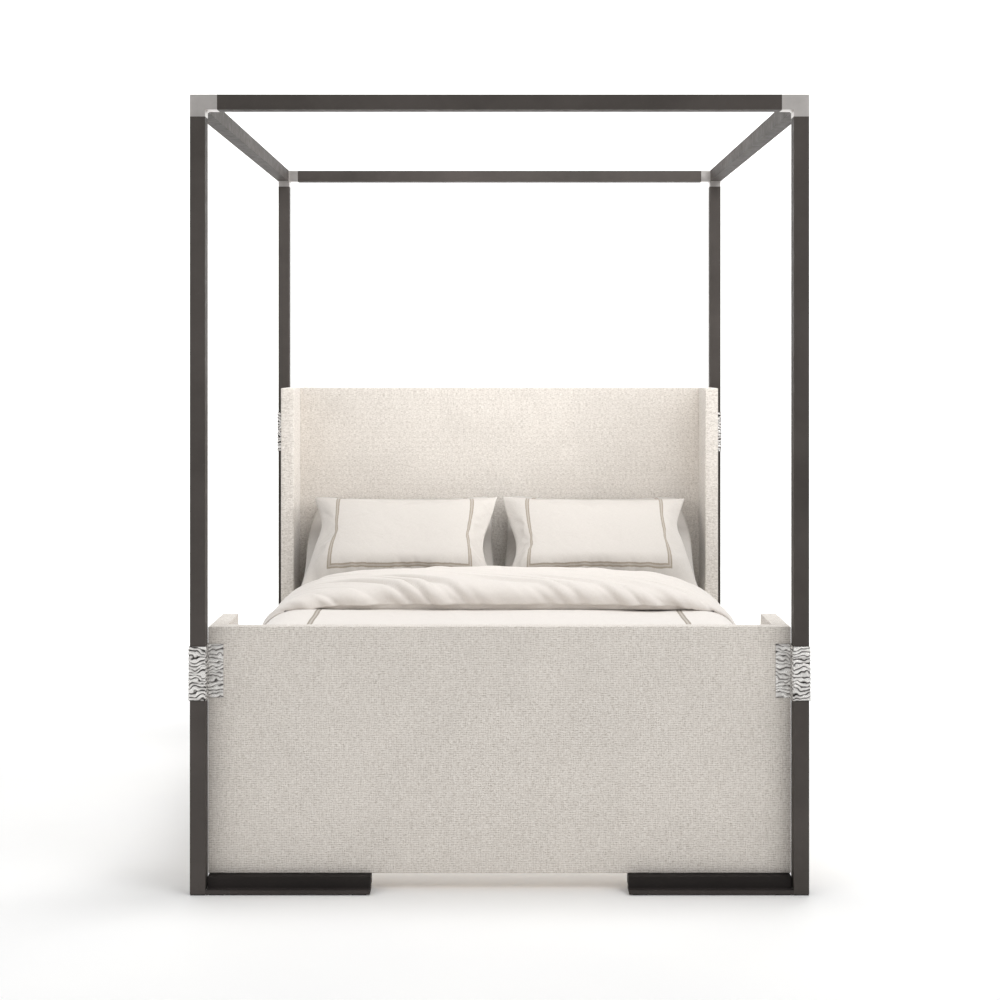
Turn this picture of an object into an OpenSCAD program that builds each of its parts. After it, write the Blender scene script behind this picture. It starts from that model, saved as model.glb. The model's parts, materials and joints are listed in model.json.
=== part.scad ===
// Four poster canopy bed with an upholstered headboard and footboard, dressed with mattress,
// duvet and pillows. X runs across the bed, Y along it with the headboard at +Y, Z up.
// The origin is on the floor under the middle of the bed.

/* [Canopy frame] */
// Width over the posts
bed_w = 1710; // [1706:1:1740]
// Length over the posts
bed_l = 2248; // [2244:1:2290]
// Height of the canopy
bed_h = 2212; // [1900:1:2400]
// Width of a post across the bed
post_x = 42; // [36:1:44]
// Depth of a post along the bed
post_y = 54; // [46:1:56]
// Height of a canopy beam
beam_h = 42; // [38:1:50]
// Wall of the posts and beams
tube_t = 2; // [1.5:0.5:3]
// Reach of a corner cap along each beam
cap_reach = 75; // [70:1:100]
// Reach of a corner cap down its post
cap_drop = 61; // [55:1:90]

/* [Boards] */
// Height of the footboard's top edge
footboard_top = 735.7; // [600:0.1:900]
// Height of the headboard's top edge
headboard_top = 1375.5; // [1150:0.1:1500]
// Height of the boards' lower edge
board_bottom = 46.8; // [44:0.1:60]
// Thickness of the headboard and footboard panels
panel_t = 50; // [46:1:52]
// Thickness of the wings
wing_t = 48; // [46:1:50]
// Length of the wings, from the board's outer face
wing_l = 293; // [250:1:330]
// Foam and linen over the cores
pad_t = 14; // [10:1:14]

/* [Brackets and feet] */
// Height of a bracket
bracket_h = 150; // [120:1:170]
// Lower edge of the footboard brackets
bracket_front_z = 538; // [480:1:545]
// Lower edge of the headboard brackets
bracket_rear_z = 1128; // [950:1:1130]
// Thickness of a bracket
bracket_t = 2; // [1.5:0.5:3]
// Reach of a bracket's flanges over the board
flange_w = 43.5; // [38:0.5:50]
// Length of a foot, from the post
foot_l = 455; // [400:5:500]
// Depth of a foot's toe
toe_d = 68; // [64:1:80]
// Height of a foot's toe
toe_h = 15; // [12:1:20]

/* [Base] */
// Top edge of the side rails
rail_top = 400; // [390:1:405]
// Height of the side rails
rail_h = 250; // [240:1:260]
// Number of slats
slat_count = 14; // [12:1:17]
// Width of a slat
slat_w = 80; // [60:1:90]
// Thickness of a slat
slat_t = 20; // [16:1:24]
// Travel of a levelling glide
glide_travel = 12; // [6:1:14]

/* [Bedding] */
// Width of the mattress
mattress_w = 1524; // [1500:1:1530]
// Length of the mattress
mattress_l = 2032; // [2000:1:2034]
// Thickness of the mattress
mattress_h = 275; // [240:1:285]
// Thickness of the duvet where it lies flat
duvet_t = 28; // [20:1:40]
// Height of the folded-back part of the duvet
fold_t = 112; // [90:1:120]
// Width of a back pillow
pillow_w = 712; // [680:1:730]
// Width of a front sham
sham_w = 690; // [620:1:700]
// Height of the pillows and shams
pillow_h = 500; // [460:1:500]
// Lean of the pillows above the mattress, in degrees
pillow_lean = 40; // [38:1:42]

/* [Hidden] */
$fn = 48;

LEFT = -1;
RIGHT = 1;
FRONT = -1;
REAR = 1;
SIDES = [LEFT, RIGHT];
ENDS = [FRONT, REAR];

BRONZE = [0.30, 0.28, 0.27];
SILVER = [0.72, 0.71, 0.70];
LINEN = [0.82, 0.79, 0.75];
WHITE = [0.94, 0.93, 0.91];
TIMBER = [0.78, 0.64, 0.46];
RUBBER = [0.12, 0.12, 0.12];
STEEL = [0.62, 0.63, 0.65];

// Plan of the frame: distances from the bed's middle
post_out_x = bed_w / 2;
post_in_x = post_out_x - post_x;
post_out_y = bed_l / 2;
post_in_y = post_out_y - post_y;
wing_in_x = post_in_x - wing_t;
panel_in_y = post_in_y - panel_t;
wing_end_y = post_in_y - wing_l;

// Cores inside the upholstery
core_in_y = panel_in_y + pad_t;
core_out_y = post_in_y - pad_t;
core_out_x = post_in_x - pad_t;
core_in_x = wing_in_x + pad_t;
plate_t = 3;
core_end_y = wing_end_y + plate_t;

// Levels
pad_h = 3;
cap_z = bed_h - cap_drop;
beam_z = bed_h - beam_h;
rail_z = rail_top - rail_h;
slat_top = rail_top - 35;
slat_z = slat_top - slat_t;
cleat_h = 40;
cleat_w = 28;
beam_section_w = 40;
beam_section_h = 60;
mattress_z = slat_top;
mattress_top = mattress_z + mattress_h;
slack = 0.3;

// Fasteners
screw_r = 2.5;
screw_clear = 0.05;
bolt_r = 4;
bolt_head_r = 7;
bolt_head_h = 4;
bolt_l = 62;
nut_r = 6;
spigot_l = 60;
spigot_t = 4;
spigot_gap = 0.2;
cap_screw_inset = 20;
cap_screw_l = 7;
sleeve_screw_l = 4;
foot_screw_l = 30;

// A range on the left or right, or at the front or rear, from its distances to the middle
function on(side, near, far) = side > 0 ? [near, far] : [-far, -near];

// A box given by its three ranges
module block(x, y, z) {
    translate([x[0], y[0], z[0]])
        cube([x[1] - x[0], y[1] - y[0], z[1] - z[0]]);
}

// A rectangular tube along Z, open at both ends
module tube_z(x, y, z, wall) {
    difference() {
        block(x, y, z);
        block([x[0] + wall, x[1] - wall], [y[0] + wall, y[1] - wall], [z[0] - 1, z[1] + 1]);
    }
}

module tube_x(x, y, z, wall) {
    difference() {
        block(x, y, z);
        block([x[0] - 1, x[1] + 1], [y[0] + wall, y[1] - wall], [z[0] + wall, z[1] - wall]);
    }
}

module tube_y(x, y, z, wall) {
    difference() {
        block(x, y, z);
        block([x[0] + wall, x[1] - wall], [y[0] - 1, y[1] + 1], [z[0] + wall, z[1] - wall]);
    }
}

function shrink(range, by) = [range[0] + by, range[1] - by];

// Screws and bolts, as rods that are also cut out of what they pass through

module rod_y(at, end, length, radius) {
    translate(at)
        rotate([end > 0 ? -90 : 90, 0, 0])
            cylinder(h = length, r = radius);
}

module rod_x(at, side, length, radius) {
    translate(at)
        rotate([0, side > 0 ? 90 : -90, 0])
            cylinder(h = length, r = radius);
}

module rod_z(at, length, radius) {
    translate(at)
        cylinder(h = length, r = radius);
}

// Three set screws hold each corner cap's spigots in the tubes
module cap_screws_at(side, end, radius) {
    mid_x = side * (post_out_x - post_x / 2);
    mid_y = end * (post_out_y - post_y / 2);
    rod_y([mid_x, end * post_in_y, cap_z - cap_screw_inset], end, cap_screw_l, radius);
    rod_z([side * (post_out_x - cap_reach - cap_screw_inset), mid_y, beam_z], cap_screw_l, radius);
    rod_z([mid_x, end * (post_out_y - cap_reach - cap_screw_inset), beam_z], cap_screw_l, radius);
}

function bracket_z(end) = end == FRONT ? bracket_front_z : bracket_rear_z;
function bracket_holes(end) =
    [bracket_z(end) + bracket_h / 4, bracket_z(end) + bracket_h * 3 / 4];

// Two screws pin each bracket's sleeve to its post
module sleeve_screws_at(side, end, radius) {
    for (z = bracket_holes(end))
        rod_y([side * (post_out_x - post_x / 2), end * (post_in_y - bracket_t), z],
              end, sleeve_screw_l, radius);
}

// Two bolts run from each bracket's side flange into the end of the board's core
module bracket_bolt_shanks_at(side, end, radius) {
    for (z = bracket_holes(end))
        rod_x([side * (post_in_x + bracket_t), end * (core_in_y + core_out_y) / 2, z],
              -side, bolt_l, radius);
}

module barrel_nuts_at(side, end, radius) {
    for (z = bracket_holes(end))
        difference() {
            rod_y([side * (post_in_x - bolt_l + 2 * nut_r), end * (core_in_y + 2), z],
                  end, core_out_y - core_in_y - 4, radius);
            children();
        }
}

foot_screw_x = [post_in_x - 60, post_in_x - foot_l + 60];

module foot_screws_at(side, end, radius) {
    for (x = foot_screw_x)
        rod_z([side * x, end * (core_in_y + core_out_y) / 2, board_bottom - 4],
              foot_screw_l, radius);
}

// ---- Canopy frame

module post(side, end) {
    color(BRONZE)
        difference() {
            tube_z(on(side, post_in_x, post_out_x), on(end, post_in_y, post_out_y),
                   [pad_h, cap_z], tube_t);
            cap_screws_at(side, end, screw_r + screw_clear);
            sleeve_screws_at(side, end, screw_r + screw_clear);
        }
}

module cross_beam(end) {
    color(BRONZE)
        difference() {
            tube_x([cap_reach - post_out_x, post_out_x - cap_reach],
                   on(end, post_in_y, post_out_y), [beam_z, bed_h], tube_t);
            for (side = SIDES)
                cap_screws_at(side, end, screw_r + screw_clear);
        }
}

module side_beam(side) {
    color(BRONZE)
        difference() {
            tube_y(on(side, post_in_x, post_out_x),
                   [cap_reach - post_out_y, post_out_y - cap_reach], [beam_z, bed_h], tube_t);
            for (end = ENDS)
                cap_screws_at(side, end, screw_r + screw_clear);
        }
}

// A cast corner: three arms flush with the tubes, and a hollow spigot inside each tube
module corner_cap(side, end) {
    post_xr = on(side, post_in_x, post_out_x);
    post_yr = on(end, post_in_y, post_out_y);
    gap = tube_t + spigot_gap;
    arm_x = post_out_x - cap_reach;
    arm_y = post_out_y - cap_reach;
    color(SILVER)
        difference() {
            union() {
                block(post_xr, post_yr, [cap_z, bed_h]);
                block(on(side, arm_x, post_in_x), post_yr, [beam_z, bed_h]);
                block(post_xr, on(end, arm_y, post_in_y), [beam_z, bed_h]);
                tube_z(shrink(post_xr, gap), shrink(post_yr, gap),
                       [cap_z - spigot_l, cap_z], spigot_t);
                tube_x(on(side, arm_x - spigot_l, arm_x), shrink(post_yr, gap),
                       shrink([beam_z, bed_h], gap), spigot_t);
                tube_y(shrink(post_xr, gap), on(end, arm_y - spigot_l, arm_y),
                       shrink([beam_z, bed_h], gap), spigot_t);
            }
            cap_screws_at(side, end, screw_r + screw_clear);
        }
}

module corner_cap_screws() {
    color(STEEL)
        for (side = SIDES, end = ENDS)
            cap_screws_at(side, end, screw_r);
}

// A sleeve round the post, with one flange on the board's face and one on its wing
module bracket(side, end) {
    z = [bracket_z(end), bracket_z(end) + bracket_h];
    xr = on(side, post_in_x, post_out_x);
    yr = on(end, post_in_y, post_out_y);
    color(SILVER)
        difference() {
            union() {
                block(shrink(xr, -bracket_t), shrink(yr, -bracket_t), z);
                block(on(side, post_in_x - flange_w, post_in_x),
                      on(end, post_in_y, post_in_y + bracket_t), z);
                block(on(side, post_in_x, post_in_x + bracket_t),
                      on(end, post_in_y - flange_w, post_in_y), z);
            }
            block(xr, yr, shrink(z, -1));
            block(on(side, post_in_x - 2 * bracket_t, post_in_x + slack),
                  on(end, post_in_y - 2 * bracket_t, post_in_y + slack), shrink(z, -1));
            bracket_bolt_shanks_at(side, end, bolt_r + screw_clear);
            sleeve_screws_at(side, end, screw_r + screw_clear);
        }
}

module bracket_bolts() {
    color(STEEL)
        for (side = SIDES, end = ENDS) {
            bracket_bolt_shanks_at(side, end, bolt_r);
            for (z = bracket_holes(end))
                rod_x([side * (post_in_x + bracket_t), end * (core_in_y + core_out_y) / 2, z],
                      side, bolt_head_h, bolt_head_r);
        }
}

module bracket_barrel_nuts() {
    color(STEEL)
        for (side = SIDES, end = ENDS)
            barrel_nuts_at(side, end, nut_r)
                bracket_bolt_shanks_at(side, end, bolt_r + screw_clear);
}

module sleeve_screws() {
    color(STEEL)
        for (side = SIDES, end = ENDS)
            sleeve_screws_at(side, end, screw_r);
}

// ---- What the bed stands on

module post_plugs() {
    plug_h = 28;
    gap = tube_t + spigot_gap;
    color(RUBBER)
        for (side = SIDES, end = ENDS) {
            xr = on(side, post_in_x, post_out_x);
            yr = on(end, post_in_y, post_out_y);
            difference() {
                union() {
                    block(shrink(xr, 1), shrink(yr, 1), [0, pad_h]);
                    block(shrink(xr, gap), shrink(yr, gap), [pad_h, plug_h]);
                }
                block(shrink(xr, gap + 3), shrink(yr, gap + 3), [pad_h, plug_h + 1]);
            }
        }
}

riser_gap = 4;
riser_set = 20;
foot_wall = 2.5;

// A welded foot under the board: a low toe with a riser up to the board's core
module foot(side, end) {
    x = on(side, post_in_x - foot_l, post_in_x);
    riser_x = on(side, post_in_x - foot_l, post_in_x - riser_gap);
    toe_y = on(end, post_out_y - toe_d, post_out_y);
    riser_y = on(end, core_in_y, post_out_y - riser_set);
    color(BRONZE)
        difference() {
            union() {
                block(x, toe_y, [pad_h, toe_h]);
                block(riser_x, riser_y, [toe_h, board_bottom]);
            }
            block(shrink(x, foot_wall), shrink(toe_y, foot_wall),
                  [pad_h + foot_wall, toe_h - foot_wall]);
            block(shrink(riser_x, foot_wall), shrink(riser_y, foot_wall),
                  [toe_h + foot_wall, board_bottom - foot_wall]);
            foot_screws_at(side, end, screw_r + screw_clear);
        }
}

module foot_pads() {
    pad_l = 40;
    color(RUBBER)
        for (side = SIDES, end = ENDS, x = [post_in_x - pad_l - 10, post_in_x - foot_l + 10])
            block(on(side, x, x + pad_l),
                  on(end, post_out_y - toe_d + 4, post_out_y - 4), [0, pad_h]);
}

module foot_screws() {
    color(STEEL)
        for (side = SIDES, end = ENDS)
            foot_screws_at(side, end, screw_r);
}

// ---- Headboard and footboard

hook_x = (wing_in_x + post_in_x) / 2;
hook_plate_w = 18;
hook_plate_z = [rail_z + 50, rail_top - 50];
hook_h = 25;
hook_t = 3;
hook_reach = 15;
hook_z = [hook_plate_z[0] + 20, hook_plate_z[1] - 20 - hook_h];

module hook_pockets(side, end, y, grow) {
    for (z = hook_z)
        block(on(side, hook_x - hook_t / 2 - grow, hook_x + hook_t / 2 + grow),
              on(end, y[0], y[1]), [z - grow, z + hook_h + grow]);
}

// The plywood inside a board: a panel and two wings
module core_shape(end, top) {
    z = [board_bottom, top - pad_t];
    block([-core_out_x, core_out_x], on(end, core_in_y, core_out_y), z);
    for (side = SIDES)
        block(on(side, core_in_x, core_out_x), on(end, core_end_y, core_in_y), z);
}

module board_core(end, top) {
    color(TIMBER)
        difference() {
            core_shape(end, top);
            for (side = SIDES) {
                hook_pockets(side, end, [core_end_y - 1, core_end_y + hook_reach + 3], 1);
                bracket_bolt_shanks_at(side, end, bolt_r + screw_clear);
                barrel_nuts_at(side, end, nut_r + screw_clear);
                foot_screws_at(side, end, screw_r + screw_clear);
            }
        }
}

module panel_cover(end, top) {
    color(LINEN)
        difference() {
            block([-post_in_x, post_in_x], on(end, panel_in_y, post_in_y), [board_bottom, top]);
            translate([0, 0, -1])
                core_shape(end, top);
            core_shape(end, top);
            for (side = SIDES)
                bracket_bolt_shanks_at(side, end, bolt_r + screw_clear);
        }
}

module wing_cover(side, end, top) {
    color(LINEN)
        difference() {
            block(on(side, wing_in_x, post_in_x), on(end, wing_end_y, panel_in_y),
                  [board_bottom, top]);
            translate([0, 0, -1])
                core_shape(end, top);
            core_shape(end, top);
            block(on(side, hook_x - hook_plate_w / 2, hook_x + hook_plate_w / 2),
                  on(end, wing_end_y - 1, wing_end_y + plate_t), hook_plate_z);
        }
}

// ---- Side rails and base

rail_core_x = [hook_x - 14, hook_x + 14];
rail_core_end = wing_end_y - plate_t;

module side_rail(side) {
    color(TIMBER)
        block(on(side, rail_core_x[0], rail_core_x[1]), [-rail_core_end, rail_core_end],
              [rail_z + 2, rail_top - 10]);
}

module side_rail_cover(side) {
    color(LINEN)
        difference() {
            block(on(side, wing_in_x, post_in_x), [-wing_end_y, wing_end_y], [rail_z, rail_top]);
            block(on(side, rail_core_x[0], rail_core_x[1]), [-rail_core_end, rail_core_end],
                  [rail_z + 2, rail_top - 10]);
            for (end = ENDS)
                block(on(side, hook_x - hook_plate_w / 2, hook_x + hook_plate_w / 2),
                      on(end, rail_core_end - 1, wing_end_y + 1), hook_plate_z);
        }
}

// Steel plates on the rails' ends, each with two hooks
module rail_hook_plates() {
    color(STEEL)
        for (side = SIDES, end = ENDS) {
            block(on(side, hook_x - hook_plate_w / 2, hook_x + hook_plate_w / 2),
                  on(end, rail_core_end, wing_end_y), hook_plate_z);
            hook_pockets(side, end, [wing_end_y - 1, wing_end_y + hook_reach], 0);
        }
}

// Slotted plates in the wings' ends, which take the hooks
module rail_slot_plates() {
    color(STEEL)
        for (side = SIDES, end = ENDS)
            difference() {
                block(on(side, hook_x - hook_plate_w / 2, hook_x + hook_plate_w / 2),
                      on(end, wing_end_y, core_end_y), hook_plate_z);
                hook_pockets(side, end, [wing_end_y - 1, core_end_y + 1], 1);
            }
}

module cleat(side) {
    color(TIMBER)
        block(on(side, wing_in_x - cleat_w, wing_in_x), [8 - panel_in_y, panel_in_y - 8],
              [slat_z - cleat_h, slat_z]);
}

slat_span = 2 * (panel_in_y - 12) - slat_w;
slat_x = wing_in_x - 5;

module slats() {
    color(TIMBER)
        for (i = [0 : slat_count - 1]) {
            y = slat_span * (i / (slat_count - 1) - 0.5);
            block([-slat_x, slat_x], [y - slat_w / 2, y + slat_w / 2], [slat_z, slat_top]);
        }
}

module slat_straps() {
    strap_x = 430;
    strap_w = 25;
    strap_t = 1.5;
    color(RUBBER)
        for (side = SIDES)
            block(on(side, strap_x, strap_x + strap_w),
                  [12 - panel_in_y, panel_in_y - 12], [slat_z - strap_t, slat_z]);
}

beam_bottom = slat_z - beam_section_h;
beam_end_y = panel_in_y - 5;
leg_y = 340;

module centre_beam() {
    color(BRONZE)
        tube_y([-beam_section_w / 2, beam_section_w / 2], [-beam_end_y, beam_end_y],
               [beam_bottom, slat_z], 1.5);
}

module beam_hangers() {
    seat_l = 48;
    cheek = beam_section_w / 2 + slack;
    color(STEEL)
        for (end = ENDS)
            difference() {
                union() {
                    block([-45, 45], on(end, panel_in_y - plate_t, panel_in_y),
                          [beam_bottom - 15, slat_z]);
                    block([-cheek - plate_t, cheek + plate_t],
                          on(end, panel_in_y - seat_l, panel_in_y - plate_t),
                          [beam_bottom - plate_t, slat_z]);
                }
                block([-cheek, cheek], on(end, panel_in_y - seat_l - 1, panel_in_y - plate_t),
                      [beam_bottom, slat_z + 1]);
            }
}

glide_disc_h = 8;
leg_r = 19;
leg_z = glide_disc_h + glide_travel + 12;
insert_r = 5;
insert_h = 40;
flange_h = 4;

// A round leg under the beam, with a flange on top and a threaded insert at its lower end
module centre_leg(end) {
    color(BRONZE)
        translate([0, end * leg_y, 0])
            difference() {
                union() {
                    translate([0, 0, leg_z])
                        cylinder(h = beam_bottom - leg_z, r = leg_r);
                    translate([0, 0, beam_bottom - flange_h])
                        cylinder(h = flange_h, r = 2 * leg_r - 2);
                }
                translate([0, 0, leg_z + insert_h])
                    cylinder(h = beam_bottom - flange_h - leg_z - insert_h, r = leg_r - 2);
                translate([0, 0, leg_z - 1])
                    cylinder(h = insert_h + 2, r = insert_r);
            }
}

// A glide that screws up into its leg to level the bed
module glide(end) {
    stem_l = leg_z + 24 - glide_disc_h;
    color(RUBBER)
        translate([0, end * leg_y, 0]) {
            cylinder(h = glide_disc_h, r = leg_r + 1);
            translate([0, 0, glide_disc_h])
                cylinder(h = stem_l, r = insert_r - 0.1);
        }
}

// ---- Bedding: sealed hollow shells, whose walls give them their real mass

module rounded_rect(size, radius) {
    for (turn = [0, 1])
        square([size[0] - 2 * radius * turn, size[1] - 2 * radius * (1 - turn)], center = true);
    for (sx = SIDES, sy = ENDS)
        translate([sx * (size[0] / 2 - radius), sy * (size[1] / 2 - radius)])
            circle(r = radius);
}

module mattress() {
    wall = 16;
    corner_r = 60;
    color(WHITE)
        difference() {
            translate([0, 0, mattress_z + slack])
                linear_extrude(mattress_h - slack)
                    rounded_rect([mattress_w, mattress_l], corner_r);
            translate([0, 0, mattress_z + slack + wall])
                linear_extrude(mattress_h - slack - 2 * wall)
                    rounded_rect([mattress_w - 2 * wall, mattress_l - 2 * wall],
                                 corner_r - wall);
        }
}

duvet_z = mattress_top + slack;
duvet_top = duvet_z + duvet_t;
duvet_foot_y = 5 - panel_in_y;
duvet_fall_y = 7 - wing_end_y;
duvet_fold_y = -137;
duvet_head_y = 400;
duvet_in_x = mattress_w / 2 + 1;
duvet_out_x = duvet_in_x + 26;
duvet_hem_z = rail_top + 10;
duvet_chamfer = 44;
fold_r = 40;
fold_crown = 136;

// Extrudes an outline drawn in X and Z over a range of Y
module along_y(y) {
    translate([0, y[1], 0])
        rotate([90, 0, 0])
            linear_extrude(y[1] - y[0])
                children();
}

// The duvet's cross-section where it falls beside the mattress, thinned all round
module duvet_arch(by) {
    half = duvet_out_x - by;
    top = duvet_top - by;
    corner = duvet_chamfer - by * (2 - sqrt(2));
    right = [
        [half - corner, top], [half, top - corner], [half, duvet_hem_z + by],
        [duvet_in_x + by, duvet_hem_z + by], [duvet_in_x + by, duvet_z + by]
    ];
    left = [for (i = [len(right) - 1 : -1 : 0]) [-right[i][0], right[i][1]]];
    polygon(concat(right, left));
}

// Everything below the band's crowned top
module below_crown(by) {
    half = duvet_out_x - by;
    top = duvet_z + fold_t - by;
    steps = 12;
    crown = [
        for (i = [-steps : steps])
            [half * i / steps, top - fold_crown * pow(abs(i / steps), 4)]
    ];
    polygon(concat(crown, [[half, duvet_hem_z], [-half, duvet_hem_z]]));
}

// The duvet's flat top, its two falls beside the mattress and its folded-back band
module duvet_shape(by) {
    block(shrink([-mattress_w / 2, mattress_w / 2], by),
          [duvet_foot_y + by, duvet_fall_y + 2 * by], shrink([duvet_z, duvet_top], by));
    along_y(shrink([duvet_fall_y, duvet_head_y], by))
        duvet_arch(by);
    intersection() {
        translate([0, (duvet_fold_y + duvet_head_y) / 2, duvet_z + fold_t / 2])
            rotate([90, 0, 90])
                linear_extrude(2 * (duvet_out_x - by), center = true)
                    rounded_rect([duvet_head_y - duvet_fold_y - 2 * by, fold_t - 2 * by],
                                 fold_r - by);
        along_y([duvet_fold_y, duvet_head_y])
            below_crown(by);
    }
}

module duvet() {
    wall = 2;
    color(WHITE)
        difference() {
            duvet_shape(0);
            duvet_shape(wall);
        }
}

// A lens-shaped outline of the given length, thickness in the middle and at its ends: two arcs
module lens(length, middle, edge) {
    sag = (middle - edge) / 2;
    radius = (length * length / 4 + sag * sag) / (2 * sag);
    reach = asin(length / 2 / radius);
    steps = 10;
    turns = [for (i = [0 : steps]) reach * (2 * i / steps - 1)];
    upper = [for (a = turns) [radius * sin(a), radius * cos(a) - radius + middle / 2]];
    lower = [for (a = turns) [-radius * sin(a), radius - radius * cos(a) - middle / 2]];
    polygon(concat(lower, upper));
}

// A pillow about its own middle: X across, Y up its height, Z through it
module pillow_shape(width, height, middle, edge) {
    intersection() {
        rotate([90, 0, 90])
            linear_extrude(width, center = true)
                lens(height, middle, edge);
        rotate([90, 0, 0])
            linear_extrude(height, center = true)
                lens(width, middle, edge);
    }
}

module pillow(width, height, middle) {
    wall = 4;
    edge = 16;
    color(WHITE)
        difference() {
            pillow_shape(width, height, middle, edge);
            pillow_shape(width - 2 * wall, height - 2 * wall, middle - 2 * wall, edge - 2 * wall);
        }
}

pillow_t = 150;
sham_t = 135;
pillow_gap = 13;
pillow_foot_y = panel_in_y - pillow_h * cos(pillow_lean) - 6;
pillow_foot_z = mattress_top + 7;
// How far the shams stand in front of the pillows, square to their faces
sham_out = 132;
sham_down = sham_out / tan(pillow_lean);

// Places a leaning pillow: along is the distance up its slope, out is square to it
module leaning(x, along, out) {
    y = pillow_foot_y + along * cos(pillow_lean) - out * sin(pillow_lean);
    z = pillow_foot_z + along * sin(pillow_lean) + out * cos(pillow_lean);
    translate([x, y, z])
        rotate([pillow_lean, 0, 0])
            children();
}

module back_pillow(side) {
    leaning(side * (pillow_w + pillow_gap) / 2, pillow_h / 2, 0)
        pillow(pillow_w, pillow_h, pillow_t);
}

module sham(side) {
    leaning(side * (sham_w + pillow_gap) / 2, pillow_h / 2 - sham_down, sham_out)
        pillow(sham_w, pillow_h, sham_t);
}

post(LEFT, FRONT);  // post_front_left
post(RIGHT, FRONT);  // post_front_right
post(LEFT, REAR);  // post_rear_left
post(RIGHT, REAR);  // post_rear_right
cross_beam(FRONT);  // beam_front
cross_beam(REAR);  // beam_rear
side_beam(LEFT);  // beam_left
side_beam(RIGHT);  // beam_right
corner_cap(LEFT, FRONT);  // corner_cap_front_left
corner_cap(RIGHT, FRONT);  // corner_cap_front_right
corner_cap(LEFT, REAR);  // corner_cap_rear_left
corner_cap(RIGHT, REAR);  // corner_cap_rear_right
corner_cap_screws();
bracket(LEFT, FRONT);  // bracket_front_left
bracket(RIGHT, FRONT);  // bracket_front_right
bracket(LEFT, REAR);  // bracket_rear_left
bracket(RIGHT, REAR);  // bracket_rear_right
bracket_bolts();
bracket_barrel_nuts();
sleeve_screws();
post_plugs();
foot(LEFT, FRONT);  // foot_front_left
foot(RIGHT, FRONT);  // foot_front_right
foot(LEFT, REAR);  // foot_rear_left
foot(RIGHT, REAR);  // foot_rear_right
foot_pads();
foot_screws();
board_core(FRONT, footboard_top);  // footboard_core
panel_cover(FRONT, footboard_top);  // footboard_panel_cover
wing_cover(LEFT, FRONT, footboard_top);  // footboard_wing_cover_left
wing_cover(RIGHT, FRONT, footboard_top);  // footboard_wing_cover_right
board_core(REAR, headboard_top);  // headboard_core
panel_cover(REAR, headboard_top);  // headboard_panel_cover
wing_cover(LEFT, REAR, headboard_top);  // headboard_wing_cover_left
wing_cover(RIGHT, REAR, headboard_top);  // headboard_wing_cover_right
side_rail(LEFT);  // side_rail_left
side_rail(RIGHT);  // side_rail_right
side_rail_cover(LEFT);  // side_rail_cover_left
side_rail_cover(RIGHT);  // side_rail_cover_right
rail_hook_plates();
rail_slot_plates();
cleat(LEFT);  // cleat_left
cleat(RIGHT);  // cleat_right
slats();
slat_straps();
centre_beam();
beam_hangers();
centre_leg(FRONT);  // centre_leg_front
centre_leg(REAR);  // centre_leg_rear
glide(FRONT);  // glide_front
glide(REAR);  // glide_rear
mattress();
duvet();
back_pillow(LEFT);  // back_pillow_left
back_pillow(RIGHT);  // back_pillow_right
sham(LEFT);  // sham_left
sham(RIGHT);  // sham_right
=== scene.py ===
import json
import math

import bpy
import numpy as np
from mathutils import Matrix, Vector


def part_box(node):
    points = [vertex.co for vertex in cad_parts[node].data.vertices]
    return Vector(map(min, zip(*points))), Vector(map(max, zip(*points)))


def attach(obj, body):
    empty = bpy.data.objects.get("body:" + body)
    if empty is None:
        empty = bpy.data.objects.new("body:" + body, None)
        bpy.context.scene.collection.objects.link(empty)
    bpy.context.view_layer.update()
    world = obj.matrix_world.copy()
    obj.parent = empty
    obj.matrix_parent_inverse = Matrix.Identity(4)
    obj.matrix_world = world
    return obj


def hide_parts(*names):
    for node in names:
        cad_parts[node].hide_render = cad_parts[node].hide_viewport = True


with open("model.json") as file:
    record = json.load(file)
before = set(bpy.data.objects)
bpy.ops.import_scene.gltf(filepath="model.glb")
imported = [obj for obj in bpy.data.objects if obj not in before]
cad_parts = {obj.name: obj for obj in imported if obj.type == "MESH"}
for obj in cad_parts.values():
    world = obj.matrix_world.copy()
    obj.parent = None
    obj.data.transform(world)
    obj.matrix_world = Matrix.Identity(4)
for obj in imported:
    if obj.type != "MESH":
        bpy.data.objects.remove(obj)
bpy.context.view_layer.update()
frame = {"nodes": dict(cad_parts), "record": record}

scene = bpy.context.scene
SIDES = ENDS = (-1, 1)
SIDE_NAMES = {-1: "left", 1: "right"}
END_NAMES = {-1: "front", 1: "rear"}


# ---- Materials


def colour(r, g, b):
    """A colour given in 0-255 screen values, as Blender's linear RGBA."""
    parts = [c / 255 for c in (r, g, b)]
    lin = [c / 12.92 if c <= 0.04045 else ((c + 0.055) / 1.055) ** 2.4 for c in parts]
    return (*lin, 1.0)


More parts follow.
